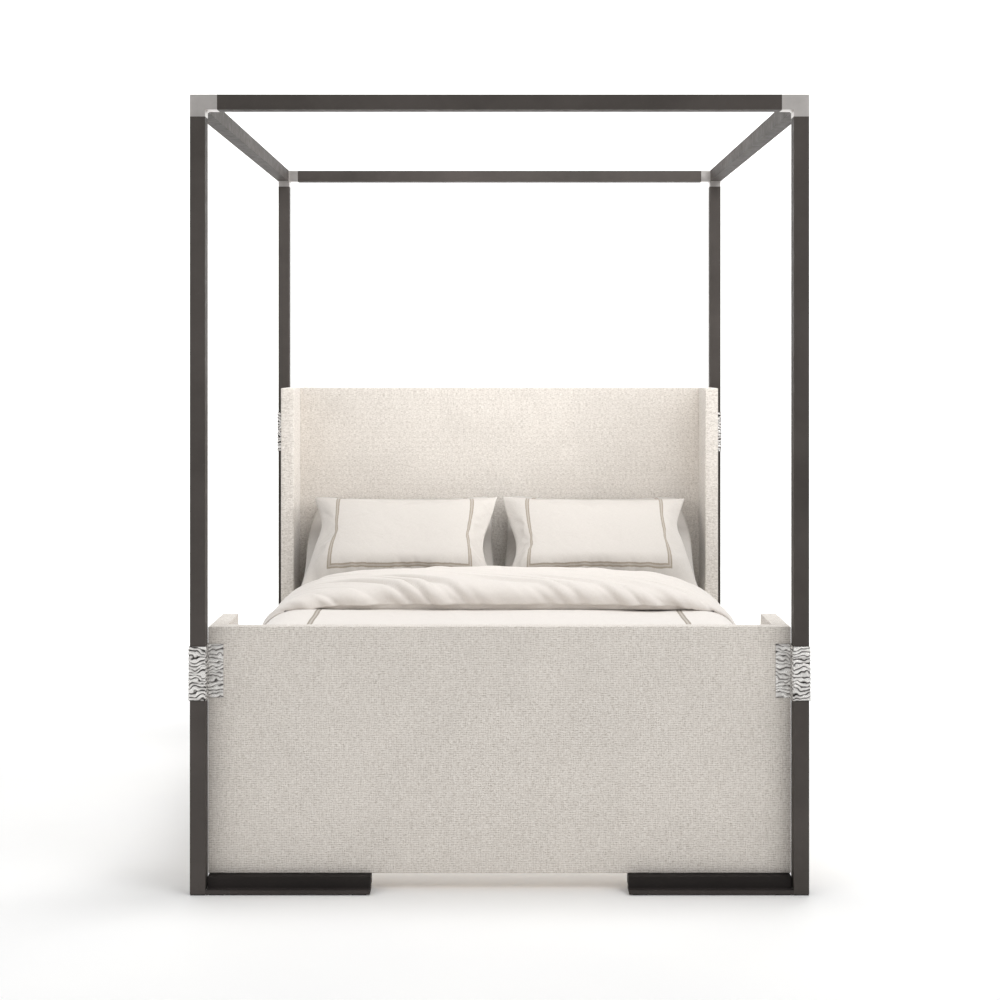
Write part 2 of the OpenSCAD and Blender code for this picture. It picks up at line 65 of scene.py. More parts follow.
class Finish:
    """A procedural material being built, with short calls for its nodes."""

    def __init__(self, name, **fixed):
        self.mat = bpy.data.materials.new(name)
        self.mat.use_nodes = True
        self.tree = self.mat.node_tree
        self.tree.nodes.clear()
        out = self.add("ShaderNodeOutputMaterial")
        self.shader = self.add("ShaderNodeBsdfPrincipled")
        self.tree.links.new(self.shader.outputs["BSDF"], out.inputs["Surface"])
        for key, value in fixed.items():
            self.shader.inputs[key.replace("_", " ")].default_value = value
        self.height = None

    def add(self, kind, **settings):
        node = self.tree.nodes.new(kind)
        for key, value in settings.items():
            setattr(node, key, value)
        return node

    def feed(self, socket, value):
        if isinstance(value, bpy.types.NodeSocket):
            self.tree.links.new(value, socket)
        else:
            socket.default_value = value

    def place(self):
        """Coordinates in metres, in the frame shared by every piece."""
        return self.add("ShaderNodeTexCoord").outputs["Object"]

    def cut(self):
        """Coordinates in metres on the flat cloth a piece was cut from."""
        return self.add("ShaderNodeUVMap", uv_map="cut").outputs["UV"]

    def stretch(self, vector, scale):
        node = self.add("ShaderNodeVectorMath", operation="MULTIPLY")
        self.feed(node.inputs[0], vector)
        node.inputs[1].default_value = scale
        return node.outputs[0]

    def noise(self, vector, scale, detail=2.0, rough=0.5, warp=0.0):
        node = self.add("ShaderNodeTexNoise")
        for key, value in (("Vector", vector), ("Scale", scale), ("Detail", detail),
                           ("Roughness", rough), ("Distortion", warp)):
            self.feed(node.inputs[key], value)
        return node.outputs["Fac"]

    def cells(self, vector, scale):
        """A random colour in each cell."""
        node = self.add("ShaderNodeTexVoronoi")
        self.feed(node.inputs["Vector"], vector)
        node.inputs["Scale"].default_value = scale
        return node.outputs["Color"]

    def math(self, operation, a, b=0.0, clamp=False):
        node = self.add("ShaderNodeMath", operation=operation, use_clamp=clamp)
        self.feed(node.inputs[0], a)
        self.feed(node.inputs[1], b)
        return node.outputs[0]

    def split(self, vector):
        node = self.add("ShaderNodeSeparateXYZ")
        self.feed(node.inputs[0], vector)
        return node.outputs

    def join(self, x, y, z):
        node = self.add("ShaderNodeCombineXYZ")
        for socket, value in zip(node.inputs, (x, y, z)):
            self.feed(socket, value)
        return node.outputs[0]

    def attribute(self, name):
        return self.add("ShaderNodeAttribute", attribute_name=name).outputs["Fac"]

    def ramp(self, fac, *stops):
        """stops are (position, colour or grey)."""
        node = self.add("ShaderNodeValToRGB")
        self.feed(node.inputs["Fac"], fac)
        elements = node.color_ramp.elements
        elements[0].position, elements[1].position = stops[0][0], stops[-1][0]
        for at, value in stops[1:-1]:
            elements.new(at)
        for element, (at, value) in zip(elements, stops):
            element.color = value if hasattr(value, "__len__") else (value,) * 3 + (1.0,)
        return node.outputs["Color"]

    def mix(self, fac, a, b, blend="MIX"):
        node = self.add("ShaderNodeMix", data_type="RGBA", blend_type=blend)
        self.feed(node.inputs[0], fac)
        self.feed(node.inputs[6], a)
        self.feed(node.inputs[7], b)
        return node.outputs[2]

    def sum_of(self, *parts):
        """Adds up parts, each (value, weight)."""
        total = None
        for value, weight in parts:
            part = self.math("MULTIPLY", value, weight)
            total = part if total is None else self.math("ADD", total, part)
        return total

    def raise_by(self, height, depth):
        """Adds a relief of the given depth in metres."""
        node = self.add("ShaderNodeBump")
        node.inputs["Distance"].default_value = depth
        node.inputs["Strength"].default_value = 1.0
        self.feed(node.inputs["Height"], height)
        if self.height is not None:
            self.feed(node.inputs["Normal"], self.height)
        self.height = node.outputs["Normal"]

    def done(self, base, roughness):
        self.feed(self.shader.inputs["Base Color"], base)
        self.feed(self.shader.inputs["Roughness"], roughness)
        if self.height is not None:
            self.feed(self.shader.inputs["Normal"], self.height)
        return self.mat


RUBBED_BRONZE = colour(118, 108, 100)
# Painted shade on the feet's risers: its near-black colour, how far it darkens them, and the height
# over which it fades in
RISER_SHADE = colour(24, 22, 21)
RISER_SHADE_SHARE = 0.66
RISER_SHADE_EDGE = 0.0008
TOE_TOP = 0.0152


def coated_metal(name, dark, light, shade_above=None):
    """Dark bronze powder coat: fine orange peel, cloudy tone, slightly rubbed. Above the given
    height it darkens towards a painted shade, which on the feet is the shade on their riser
    under the footboard."""
    f = Finish(name, Metallic=0.04, IOR=1.30, Specular_IOR_Level=0.10)
    p = f.place()
    cloud = f.noise(p, 3.0, 4.0, 0.6)
    peel = f.noise(p, 900.0, 2.0)
    speck = f.noise(p, 260.0, 3.0, 0.7)
    base = f.ramp(cloud, (0.3, colour(*dark)), (0.7, colour(*light)))
    rub = f.ramp(speck, (0.62, 0.0), (0.8, 0.35))
    base = f.mix(rub, base, RUBBED_BRONZE)
    if shade_above:
        # Painted shade: above the toe's top the feet darken towards near black, for the shade under
        # the footboard
        riser = f.ramp(f.split(p)[2], (shade_above, 0.0), (shade_above + RISER_SHADE_EDGE, RISER_SHADE_SHARE))
        base = f.mix(riser, base, RISER_SHADE)
    f.raise_by(peel, 0.00012)
    f.raise_by(f.noise(f.stretch(p, (8, 8, 1)), 6.0, 3.0), 0.0004)
    rough = f.ramp(f.noise(p, 40.0, 3.0), (0.3, 0.46), (0.7, 0.60))
    return f.done(base, rough)


def satin_silver():
    """Cast aluminium with a soft blasted satin face."""
    f = Finish("satin_silver_metal", Metallic=1.0)
    p = f.place()
    grain = f.noise(p, 1400.0, 2.0)
    cloud = f.noise(p, 14.0, 4.0, 0.6)
    base = f.ramp(cloud, (0.3, colour(172, 168, 165)), (0.7, colour(190, 186, 183)))
    f.raise_by(grain, 0.00010)
    f.raise_by(f.noise(p, 90.0, 3.0), 0.00025)
    return f.done(base, f.ramp(f.noise(p, 60.0, 3.0), (0.3, 0.34), (0.7, 0.46)))


def bark_silver():
    """Hammered pewter silver, darker down in the furrows of the bark relief."""
    f = Finish("bark_silver_metal", Metallic=1.0)
    p = f.place()
    high = f.attribute("ridge")
    fine = f.noise(f.stretch(p, (0.5, 0.5, 2.2)), 420.0, 4.0, 0.65)
    tone = f.math("ADD", high, f.math("MULTIPLY", f.math("SUBTRACT", fine, 0.5), 0.35))
    base = f.ramp(tone, (0.12, colour(46, 44, 43)), (0.30, colour(112, 109, 107)),
                  (0.46, colour(190, 187, 184)), (0.85, colour(236, 234, 231)))
    f.raise_by(fine, 0.0007)
    return f.done(base, f.ramp(tone, (0.1, 0.55), (0.8, 0.27)))


def zinc_steel():
    """Bright zinc plate, with the faint spangle and rub marks of pressed steel."""
    f = Finish("zinc_steel_metal", Metallic=1.0)
    p = f.place()
    spangle = f.cells(p, 170.0)
    base = f.mix(0.12, colour(172, 174, 178), spangle, "OVERLAY")
    f.raise_by(f.noise(f.stretch(p, (1, 1, 6)), 500.0, 3.0), 0.00015)
    return f.done(base, f.ramp(f.noise(p, 120.0, 3.0), (0.3, 0.28), (0.7, 0.45)))


def moulded(name, tone, grain, rough_low, rough_high):
    """Moulded plastic or rubber: fine texture from the tool and a dusty tone."""
    f = Finish(name, IOR=1.48)
    p = f.place()
    dust = f.noise(p, 35.0, 4.0, 0.6)
    lift = tuple(c + 16 for c in tone)
    base = f.ramp(dust, (0.35, colour(*tone)), (0.75, colour(*lift)))
    f.raise_by(f.noise(p, grain, 2.0), 0.00018)
    return f.done(base, f.ramp(dust, (0.3, rough_low), (0.7, rough_high)))


LINEN_ROWS, LINEN_COLUMNS = 205.0, 215.0
LEVEL_FACE = 0.7


def linen(name, dark, middle, light):
    """Nubby natural linen: short thick slubs lying across, rows and columns of yarn that
    wander a little, darker gaps. The rows run level on upright faces and across level ones."""
    f = Finish(name, Sheen_Weight=0.18, Sheen_Roughness=0.5, IOR=1.42)
    p = f.place()
    x, y, z = f.split(p)
    facing = f.split(f.add("ShaderNodeTexCoord").outputs["Normal"])
    level = f.math("GREATER_THAN", f.math("ABSOLUTE", facing[2]), LEVEL_FACE)
    v = f.mix(level, p, f.join(x, z, y))
    slubs = f.noise(f.stretch(v, (100.0, 100.0, 420.0)), 1.0, 2.0, 0.6)
    nubs = f.noise(f.stretch(v, (360.0, 360.0, 700.0)), 1.0, 2.0, 0.65)
    warp = f.noise(f.stretch(v, (620.0, 620.0, 70.0)), 1.0, 1.0)
    cloud = f.noise(p, 7.0, 3.0)
    drift = f.math("MULTIPLY", f.noise(p, 26.0, 2.0), 1.4)

    def yarns(along, per_metre):
        return f.math("PINGPONG", f.math("ADD", f.math("MULTIPLY", along, per_metre), drift), 0.5)

    x, y, z = f.split(v)
    rows = yarns(z, LINEN_ROWS)
    columns = yarns(f.math("ADD", x, y), LINEN_COLUMNS)
    tone = f.sum_of((slubs, 0.46), (nubs, 0.34), (warp, 0.20),
                    (f.math("SUBTRACT", rows, 0.25), 0.30),
                    (f.math("SUBTRACT", columns, 0.25), 0.16))
    base = f.ramp(tone, (0.34, colour(*dark)), (0.47, colour(*middle)), (0.64, colour(*light)))
    base = f.mix(1.0, base, f.ramp(cloud, (0.3, 0.95), (0.7, 1.0)), "MULTIPLY")
    f.raise_by(slubs, 0.0008)
    f.raise_by(nubs, 0.0006)
    f.raise_by(rows, 0.0007)
    f.raise_by(f.noise(p, 22.0, 3.0), 0.0004)
    return f.done(base, f.ramp(slubs, (0.35, 0.94), (0.7, 0.82)))


STRIPE_YARN = colour(146, 136, 123)


def percale(name, warm, bright, lines=None):
    """White cotton percale, with woven stripes where lines is given. lines(f, u, v) is 0 on the
    middle of a stripe and rises by 1 for each stripe's width away from it. A stripe is two dark
    bands with a paler one between."""
    f = Finish(name, Sheen_Weight=0.12, Sheen_Roughness=0.45, IOR=1.4)
    cut = f.cut()
    u, v, _ = f.split(cut)
    fine = f.noise(f.stretch(cut, (1700.0, 90.0, 1.0)), 1.0, 2.0)
    cross = f.noise(f.stretch(cut, (90.0, 1700.0, 1.0)), 1.0, 2.0)
    weave = f.math("MULTIPLY", f.math("ADD", fine, cross), 0.5)
    base = f.ramp(weave, (0.3, colour(*warm)), (0.7, colour(*bright)))
    if lines:
        away = lines(f, u, v)
        yarn = f.math("MULTIPLY", f.math("SUBTRACT", weave, 0.5), 0.5)
        mask = f.ramp(f.math("ADD", away, yarn, clamp=True),
                      (0.0, 0.55), (0.14, 0.60), (0.2, 1.0), (0.42, 1.0), (0.52, 0.0))
        base = f.mix(mask, base, STRIPE_YARN)
    f.raise_by(weave, 0.0002)
    f.raise_by(f.noise(cut, 16.0, 3.0, 0.55, 0.6), 0.0035)
    return f.done(base, f.ramp(weave, (0.3, 0.86), (0.7, 0.74)))


PORE_BROWN = colour(122, 92, 58)


def timber(name, along, dark, light):
    """Planed softwood with its grain along X, Y or Z."""
    f = Finish(name, IOR=1.45)
    p = f.place()
    scale = [34.0, 34.0, 34.0]
    scale["XYZ".index(along)] = 1.6
    grain = f.noise(f.stretch(p, tuple(scale)), 2.6, 5.0, 0.62, 0.8)
    pores = f.noise(f.stretch(p, tuple(c * 9 for c in scale)), 2.0, 2.0)
    base = f.ramp(grain, (0.32, colour(*light)), (0.5, colour(*light)), (0.6, colour(*dark)),
                  (0.75, colour(*light)))
    base = f.mix(f.ramp(pores, (0.35, 0.30), (0.5, 0.0)), base, PORE_BROWN)
    f.raise_by(grain, 0.0004)
    return f.done(base, f.ramp(pores, (0.3, 0.72), (0.6, 0.55)))


PLIES_PER_METRE = 330.0


def plywood():
    """Birch plywood: plies show on the cut edges as thin layers along Y."""
    f = Finish("plywood_birch", IOR=1.45)
    p = f.place()
    layer = f.math("FRACT", f.math("MULTIPLY", f.split(p)[1], PLIES_PER_METRE))
    grain = f.noise(f.stretch(p, (3.0, 60.0, 60.0)), 2.2, 4.0, 0.6, 0.5)
    base = f.ramp(grain, (0.35, colour(214, 184, 140)), (0.65, colour(196, 160, 112)))
    base = f.mix(f.ramp(layer, (0.42, 0.0), (0.5, 0.6), (0.9, 0.6), (0.98, 0.0)), base,
                 colour(150, 112, 72))
    f.raise_by(f.ramp(layer, (0.4, 0.0), (0.6, 1.0)), 0.0002)
    return f.done(base, f.ramp(grain, (0.3, 0.66), (0.7, 0.58)))


RIBS_PER_METRE = 600.0


def webbing():
    """Flat polyester webbing with ribs across its run."""
    f = Finish("strap_webbing", Sheen_Weight=0.1, IOR=1.45)
    p = f.place()
    rib = f.math("PINGPONG", f.math("MULTIPLY", f.split(p)[1], RIBS_PER_METRE), 0.5)
    fuzz = f.noise(p, 900.0, 2.0)
    base = f.ramp(f.math("ADD", rib, fuzz), (0.4, colour(38, 38, 40)), (0.9, colour(72, 72, 74)))
    f.raise_by(rib, 0.0005)
    return f.done(base, f.ramp(fuzz, (0.3, 0.9), (0.7, 0.75)))


DIAMONDS_PER_METRE = 28.0


def ticking():
    """Mattress cover: knitted off-white cloth with a faint woven diamond figure."""
    f = Finish("mattress_ticking", Sheen_Weight=0.15, IOR=1.42)
    p = f.place()
    x, y, z = f.split(p)
    half_z = f.math("MULTIPLY", z, 0.5)
    rising = f.math("ADD", f.math("ADD", x, y), half_z)
    falling = f.math("SUBTRACT", f.math("SUBTRACT", x, y), half_z)
    a, b = (f.math("PINGPONG", f.math("MULTIPLY", line, DIAMONDS_PER_METRE), 0.5)
            for line in (rising, falling))
    figure = f.math("MINIMUM", a, b)
    knit = f.noise(p, 800.0, 2.0)
    base = f.ramp(figure, (0.05, colour(226, 222, 214)), (0.16, colour(240, 237, 231)))
    base = f.mix(f.ramp(knit, (0.3, 0.14), (0.6, 0.0)), base, colour(196, 190, 180))
    f.raise_by(figure, 0.0012)
    f.raise_by(knit, 0.0003)
    return f.done(base, f.ramp(knit, (0.3, 0.92), (0.7, 0.8)))


BRONZE = coated_metal("bronze_coat", (68, 64, 61), (83, 78, 75))
# A darker copy of the bronze coat for the feet: painted shade, since they sit low under the
# footboard
FOOT_BRONZE_SHADED = coated_metal("bronze_coat_feet_shaded", (60, 56, 54), (74, 69, 67), shade_above=TOE_TOP)
SILVER = satin_silver()
BARK = bark_silver()
ZINC = zinc_steel()
PLASTIC = moulded("black_plastic_moulded", (30, 30, 31), 700.0, 0.42, 0.6)
RUBBER = moulded("pad_rubber_moulded", (38, 37, 36), 420.0, 0.75, 0.92)
LINEN = linen("linen_slub", (166, 157, 147), (212, 205, 197), (238, 233, 226))
PLYWOOD = plywood()
RAIL_WOOD = timber("pine_along_bed", "Y", (196, 156, 102), (224, 192, 142))
SLAT_WOOD = timber("pine_across_bed", "X", (200, 160, 108), (228, 198, 150))
WEBBING = webbing()
TICKING = ticking()

SLOT_FINISH = {
    "bronze": BRONZE, "satin_silver": SILVER, "bark_silver": BARK, "zinc_steel": ZINC,
    "black_plastic": PLASTIC, "pad_rubber": RUBBER, "linen": LINEN, "plywood": PLYWOOD,
    "timber": RAIL_WOOD, "webbing": WEBBING, "ticking": TICKING,
}
NODE_FINISH = {"slats": SLAT_WOOD, "corner_cap_screws": BRONZE}


def at_corner(kind, end, side):
    """The name of the node of that kind at one corner of the bed."""
    return f"{kind}_{END_NAMES[end]}_{SIDE_NAMES[side]}"


# The feet take the darker, painted-shade copy of the bronze coat
for end in ENDS:
    for side in SIDES:
        NODE_FINISH[at_corner("foot", end, side)] = FOOT_BRONZE_SHADED
slot_of = {part["node"]: part["material_slot"] for part in frame["record"]["subparts"]}
for node, obj in frame["nodes"].items():
    finish = NODE_FINISH.get(node) or SLOT_FINISH.get(slot_of.get(node))
    if finish is not None:
        for material_slot in obj.material_slots:
            material_slot.material = finish


# ---- Shapes


def lattice(cell, seed):
    """A steady pseudo-random number from -1 to 1 for each whole-numbered cell."""
    key = cell[..., 0] * 374761393 + cell[..., 1] * 668265263 + cell[..., 2] * 1442695041
    key = (key + seed * 1013904223) & 0xFFFFFFFF
    key = ((key ^ (key >> 13)) * 1274126177) & 0xFFFFFFFF
    return ((key ^ (key >> 16)) & 0xFFFF) / 32767.5 - 1.0


def waves(points, size, seed=0):
    """Smooth noise from -1 to 1 with features about size metres across. size may be (x, y, z)."""
    q = np.asarray(points, float) / np.asarray(size, float)
    cell = np.floor(q).astype(np.int64)
    t = q - cell
    t = t * t * t * (t * (t * 6 - 15) + 10)
    total = np.zeros(len(q))
    for corner in range(8):
        bits = np.array([corner & 1, corner >> 1 & 1, corner >> 2 & 1])
        weight = np.prod(np.where(bits, t, 1 - t), axis=1)
        total += weight * lattice(cell + bits, seed)
    return total


class Shell:
    """Points and faces, which grow into one mesh. cut says where each point lies on the flat
    cloth, and groups which material each face has."""

    def __init__(self, points, faces, cut=None):
        self.points = np.array(points, float)
        self.faces = [tuple(int(i) for i in f) for f in faces]
        self.cut = cut
        self.groups = [0] * len(self.faces)

    def normals(self):
        """Each point's outward direction, from the four-sided faces round it."""
        quads = np.array([f for f in self.faces if len(f) == 4], int)
        p = self.points[quads]
        across = np.cross(p[:, 2] - p[:, 0], p[:, 3] - p[:, 1])
        out = np.zeros_like(self.points)
        for k in range(4):
            np.add.at(out, quads[:, k], across)
        length = np.linalg.norm(out, axis=1, keepdims=True)
        return out / np.maximum(length, 1e-12)

    def push(self, amount):
        """Moves each point out along its normal."""
        self.points = self.points + self.normals() * np.asarray(amount)[:, None]

    def join(self, other):
        shift = len(self.points)
        self.points = np.vstack([self.points, other.points])
        self.faces += [tuple(i + shift for i in f) for f in other.faces]
        self.groups += other.groups

    def build(self, name, body, slot, *materials, smooth=True):
        mesh = bpy.data.meshes.new(name)
        mesh.from_pydata(self.points.tolist(), [], self.faces)
        obj = bpy.data.objects.new(name, mesh)
        scene.collection.objects.link(obj)
        for material in materials:
            mesh.materials.append(material)
        mesh.polygons.foreach_set("use_smooth", [smooth] * len(mesh.polygons))
        mesh.polygons.foreach_set("material_index", self.groups)
        if self.cut is not None:
            layer = mesh.uv_layers.new(name="cut")
            at = np.empty(len(mesh.loops), int)
            mesh.loops.foreach_get("vertex_index", at)
            layer.data.foreach_set("uv", self.cut[at].ravel())
        mesh.update()
        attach(obj, body)
        return obj


EDGE_TURNS = np.array([0.0, 0.3, 0.6, 0.85])
SEAM_STEPS = np.array([-0.006, -0.003, -0.0012, 0.0, 0.0012, 0.003, 0.006])
LEAST_GAP = 0.0006


def spaced(low, high, step, edge, seams=()):
    """Coordinates from low to high, closer together in the rounded edges and at seams."""
    count = max(2, int(round((high - low - 2 * edge) / step)) + 1)
    parts = [np.linspace(low + edge, high - edge, count)]
    parts += [low + EDGE_TURNS * edge, high - EDGE_TURNS * edge]
    parts += [seam + SEAM_STEPS for seam in seams]
    out = np.unique(np.round(np.concatenate(parts), 6))
    keep = [out[0]]
    for value in out[1:]:
        if value - keep[-1] > LEAST_GAP:
            keep.append(value)
    return np.array(keep)


def box_shell(xs, ys, zs):
    """The surface of a box, as quads between the given coordinates."""
    axes = (xs, ys, zs)
    points, quads, start = [], [], 0
    for axis in range(3):
        a, b = [i for i in range(3) if i != axis]
        for end in (0, -1):
            ga, gb = np.meshgrid(axes[a], axes[b], indexing="ij")
            p = np.empty(ga.shape + (3,))
            p[..., a], p[..., b], p[..., axis] = ga, gb, axes[axis][end]
            n, m = ga.shape
            i = np.arange(n * m).reshape(n, m) + start
            q = np.stack([i[:-1, :-1], i[1:, :-1], i[1:, 1:], i[:-1, 1:]], axis=-1).reshape(-1, 4)
            outward = (axis != 1) == (end == -1)
            quads.append(q if outward else q[:, ::-1])
            points.append(p.reshape(-1, 3))
            start += n * m
    points, quads = np.vstack(points), np.vstack(quads)
    merged, back = np.unique(np.round(points, 6), axis=0, return_inverse=True)
    return Shell(merged, back.reshape(-1)[quads])


def round_edges(shell, low, high, radius):
    """Rounds the box's edges and corners off."""
    low, high = np.asarray(low, float), np.asarray(high, float)
    near = np.clip(shell.points, low + radius, high - radius)
    away = shell.points - near
    length = np.linalg.norm(away, axis=1, keepdims=True)
    shell.points = near + away / np.maximum(length, 1e-9) * np.minimum(length, radius)
    return shell


def furrow(points, axis, at, width, depth):
    """How deep a sewn seam pulls the cloth in around the plane axis = at."""
    away = np.abs(points[:, axis] - at) / width
    return -depth * np.exp(-away * away)


def ranges(node):
    low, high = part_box(node)
    return np.array(low), np.array(high)


def closed_tube(path, radius, sides=8):
    """A round cord along a closed, level path of points."""
    path = np.asarray(path, float)
    ahead = np.roll(path, -1, axis=0) - np.roll(path, 1, axis=0)
    ahead /= np.linalg.norm(ahead, axis=1, keepdims=True)
    side = np.cross(ahead, [[0.0, 0.0, 1.0]])
    side /= np.linalg.norm(side, axis=1, keepdims=True)
    over = np.cross(side, ahead)
    turn = np.arange(sides) / sides * 2 * math.pi
    ring = (side[:, None, :] * np.cos(turn)[None, :, None]
            + over[:, None, :] * np.sin(turn)[None, :, None]) * radius
    points = (path[:, None, :] + ring).reshape(-1, 3)
    faces, n = [], len(path)
    for i in range(n):
        j = (i + 1) % n
        for k in range(sides):
            after = (k + 1) % sides
            faces.append((i * sides + k, i * sides + after, j * sides + after, j * sides + k))
    return Shell(points, faces)


# ---- Upholstered boards and rails

BOARD_EDGE = 0.0038
FOAM_STEP = 0.016
FOAM_SWELL = 0.0012
BOARD_LIFT = 0.0004


def upholstered(name, node, lift=0.0):
    """Foam under tight linen in the space of a CAD cover: rounded edges and a slightly uneven
    face that swells away from them."""
    low, high = ranges(node)
    low[2] += lift
    grid = [spaced(low[k], high[k], FOAM_STEP, BOARD_EDGE) for k in range(3)]
    shell = round_edges(box_shell(*grid), low, high, BOARD_EDGE)
    p = shell.points
    inside = np.clip(np.minimum(p - low, high - p) / 0.05, 0, 1)
    broad = np.sort(inside, axis=1)[:, 1]
    amount = FOAM_SWELL * broad * (0.4 + 0.6 * waves(p, 0.16, 3)) - 0.0002
    amount += 0.0005 * broad * waves(p, 0.035, 4)
    shell.push(amount)
    obj = shell.build(name, "bed_frame", "linen", LINEN)
    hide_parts(node)


for board in ("footboard", "headboard"):
    upholstered(f"{board}_panel", f"{board}_panel_cover", BOARD_LIFT)
    for side in SIDES:
        side_name = SIDE_NAMES[side]
        upholstered(f"{board}_wing_{side_name}", f"{board}_wing_cover_{side_name}", BOARD_LIFT)
for side in SIDES:
    side_name = SIDE_NAMES[side]
    upholstered(f"side_rail_linen_{side_name}", f"side_rail_cover_{side_name}")


# ---- Brackets with a bark relief


# The ridges' spacing, full height and mean share of it, and the mesh that shows them
BARK_PERIOD = 0.0112
BARK_DEPTH = 0.0029
BARK_MEAN = 0.62
BARK_STEP = 0.0022
# Each plate's thickness, rounded edge, and how near its face a point counts as on it
PLATE = 0.002
PLATE_EDGE = 0.0006
ON_FACE = 0.0008
FLANGE_CALM = 0.30


def bark(points, seed):
    """Height from 0 to 1 of wavy ridges that run across, like the bark of a tree."""
    warp = 0.0085 * waves(points, 0.024, seed) + 0.004 * waves(points, 0.010, seed + 1)
    phase = (points[:, 2] + warp) / BARK_PERIOD
    ridge = 1 - np.abs(2 * (phase - np.floor(phase)) - 1)
    broken = 0.90 + 0.35 * waves(points, (0.02, 0.02, 0.008), seed + 2)
    rough = 0.10 * waves(points, 0.0036, seed + 3)
    return np.clip(np.minimum(1.45 * ridge, 1) * broken + rough, 0, 1)


def bark_plate(low, high, axis, sign, seed, calm):
    """A thin plate whose face on the sign side of the axis carries the relief, and the
    relief's height at each point. calm is how much of it is smoothed away."""
    grid = [spaced(low[k], high[k], BARK_STEP, PLATE_EDGE) for k in range(3)]
    shell = round_edges(box_shell(*grid), low, high, PLATE_EDGE)
    ridge = calm * BARK_MEAN + (1 - calm) * bark(shell.points, seed)
    face = high[axis] if sign > 0 else low[axis]
    on_face = np.abs(shell.points[:, axis] - face) < ON_FACE
    shell.points[on_face, axis] += sign * ridge[on_face] * BARK_DEPTH
    return shell, ridge


def bark_bracket(end, side, seed):
    """The sleeve's four walls and the two flanges of one bracket."""
    node = at_corner("bracket", end, side)
    low, high = ranges(node)
    post = ranges(at_corner("post", end, side))
    in_x, out_x = (post[0][0], post[1][0])[::side]
    in_y, out_y = (post[0][1], post[1][1])[::end]
    far_x = low[0] if side > 0 else high[0]
    far_y = low[1] if end > 0 else high[1]
    wall_x, wall_y = side * PLATE, end * PLATE

    def plate(x, y, axis, sign, shift, calm=0.0):
        corner = np.array([min(x), min(y), low[2]])
        opposite = np.array([max(x), max(y), high[2]])
        return bark_plate(corner, opposite, axis, sign, seed + shift, calm)

    parts = [
        plate((in_x - wall_x, out_x + wall_x), (out_y, out_y + wall_y), 1, end, 0),
        plate((out_x, out_x + wall_x), (in_y - wall_y, out_y + wall_y), 0, side, 10),
        plate((in_x - wall_x, in_x), (in_y + wall_y, out_y + wall_y), 0, -side, 20),
        plate((in_x + wall_x, out_x + wall_x), (in_y - wall_y, in_y), 1, -end, 30),
        plate((far_x, in_x), (in_y, in_y + wall_y), 1, end, 40, FLANGE_CALM),
        plate((in_x, in_x + wall_x), (far_y, in_y), 0, side, 50, FLANGE_CALM),
    ]
    shell = parts[0][0]
    for more, _ in parts[1:]:
        shell.join(more)
    obj = shell.build(f"{node}_bark", "bed_frame", "bark_silver", BARK)
    layer = obj.data.attributes.new("ridge", "FLOAT", "POINT")
    layer.data.foreach_set("value", np.concatenate([ridge for _, ridge in parts]))
    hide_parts(node)


for end in ENDS:
    for side in SIDES:
        bark_bracket(end, side, 100 * (end + 2) + 40 * (side + 2))


# ---- Mattress

MATTRESS_CORNER = 0.060
MATTRESS_STEP = 0.022
# How far the cloth lies inside the CAD solid
MATTRESS_IN = 0.0025
# The side seams' height from its middle, and the run of the quilting's pattern
SIDE_SEAM = 0.05
QUILT, SIDE_QUILT = 0.26, 0.12


def round_plan(points, low, high, radius):
    """Rounds the four upright corners of a box."""
    near = np.clip(points[:, :2], low[:2] + radius, high[:2] - radius)
    away = points[:, :2] - near
    reach = np.abs(away).max(axis=1)
    length = np.maximum(np.linalg.norm(away, axis=1), 1e-9)
    points[:, :2] = near + away * (reach / length)[:, None]


def plan_outline(low, high, radius, z, count=22):
    """The rounded plan of the mattress as a closed path at height z."""
    path = []
    for k, (sx, sy) in enumerate(((1, 1), (-1, 1), (-1, -1), (1, -1))):
        cx = high[0] - radius if sx > 0 else low[0] + radius
        cy = high[1] - radius if sy > 0 else low[1] + radius
        for a in np.linspace(k * math.pi / 2, (k + 1) * math.pi / 2, count):
            path.append((cx + radius * math.cos(a), cy + radius * math.sin(a), z))
    return path


def make_mattress():
    low, high = ranges("mattress")
    high[2] -= 0.0015
    mid = (low[2] + high[2]) / 2
    seams = (mid - SIDE_SEAM, mid + SIDE_SEAM)
    grid = [spaced(low[k], high[k], MATTRESS_STEP, MATTRESS_CORNER, seams if k == 2 else ())
            for k in range(3)]
    shell = round_edges(box_shell(*grid), low, high, MATTRESS_CORNER)
    round_plan(shell.points, low, high, MATTRESS_CORNER)
    p = shell.points
    facing = np.abs(shell.normals()[:, 2])
    side = facing < 0.4
    inner = np.clip(np.minimum(p[:, :2] - low[:2], high[:2] - p[:, :2]).min(axis=1) / 0.05, 0, 1)
    along = p[:, 0] + p[:, 1]
    rising = np.abs(np.sin(along * math.pi / QUILT))
    falling = np.abs(np.sin((p[:, 0] - p[:, 1]) * math.pi / QUILT))
    dip = -0.005 * inner * (1 - np.sqrt(np.minimum(rising, falling)))
    puff = np.where(facing > 0.8, dip, 0)
    side_dip = -0.0015 * (1 - np.abs(np.sin(along * math.pi / SIDE_QUILT)) ** 0.4)
    puff += np.where(side, side_dip, 0)
    for at in seams:
        puff += np.where(side, furrow(p, 2, at, 0.003, 0.0035), 0)
    shell.push(puff - MATTRESS_IN)
    obj = shell.build("mattress_body", "mattress", "ticking", TICKING)
    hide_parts("mattress")
    for name, z in (("top", high[2] - MATTRESS_CORNER), ("base", low[2] + MATTRESS_CORNER)):
        path = plan_outline(low + MATTRESS_IN, high - MATTRESS_IN, MATTRESS_CORNER - MATTRESS_IN, z)
        closed_tube(path, 0.0042).build(f"mattress_piping_{name}", "mattress", "ticking", PIPING)
    for side in SIDES:
        for end_name, y in (("foot", -0.55), ("head", 0.25)):
            strap_handle(f"mattress_handle_{SIDE_NAMES[side]}_{end_name}", side * high[0], y, mid)


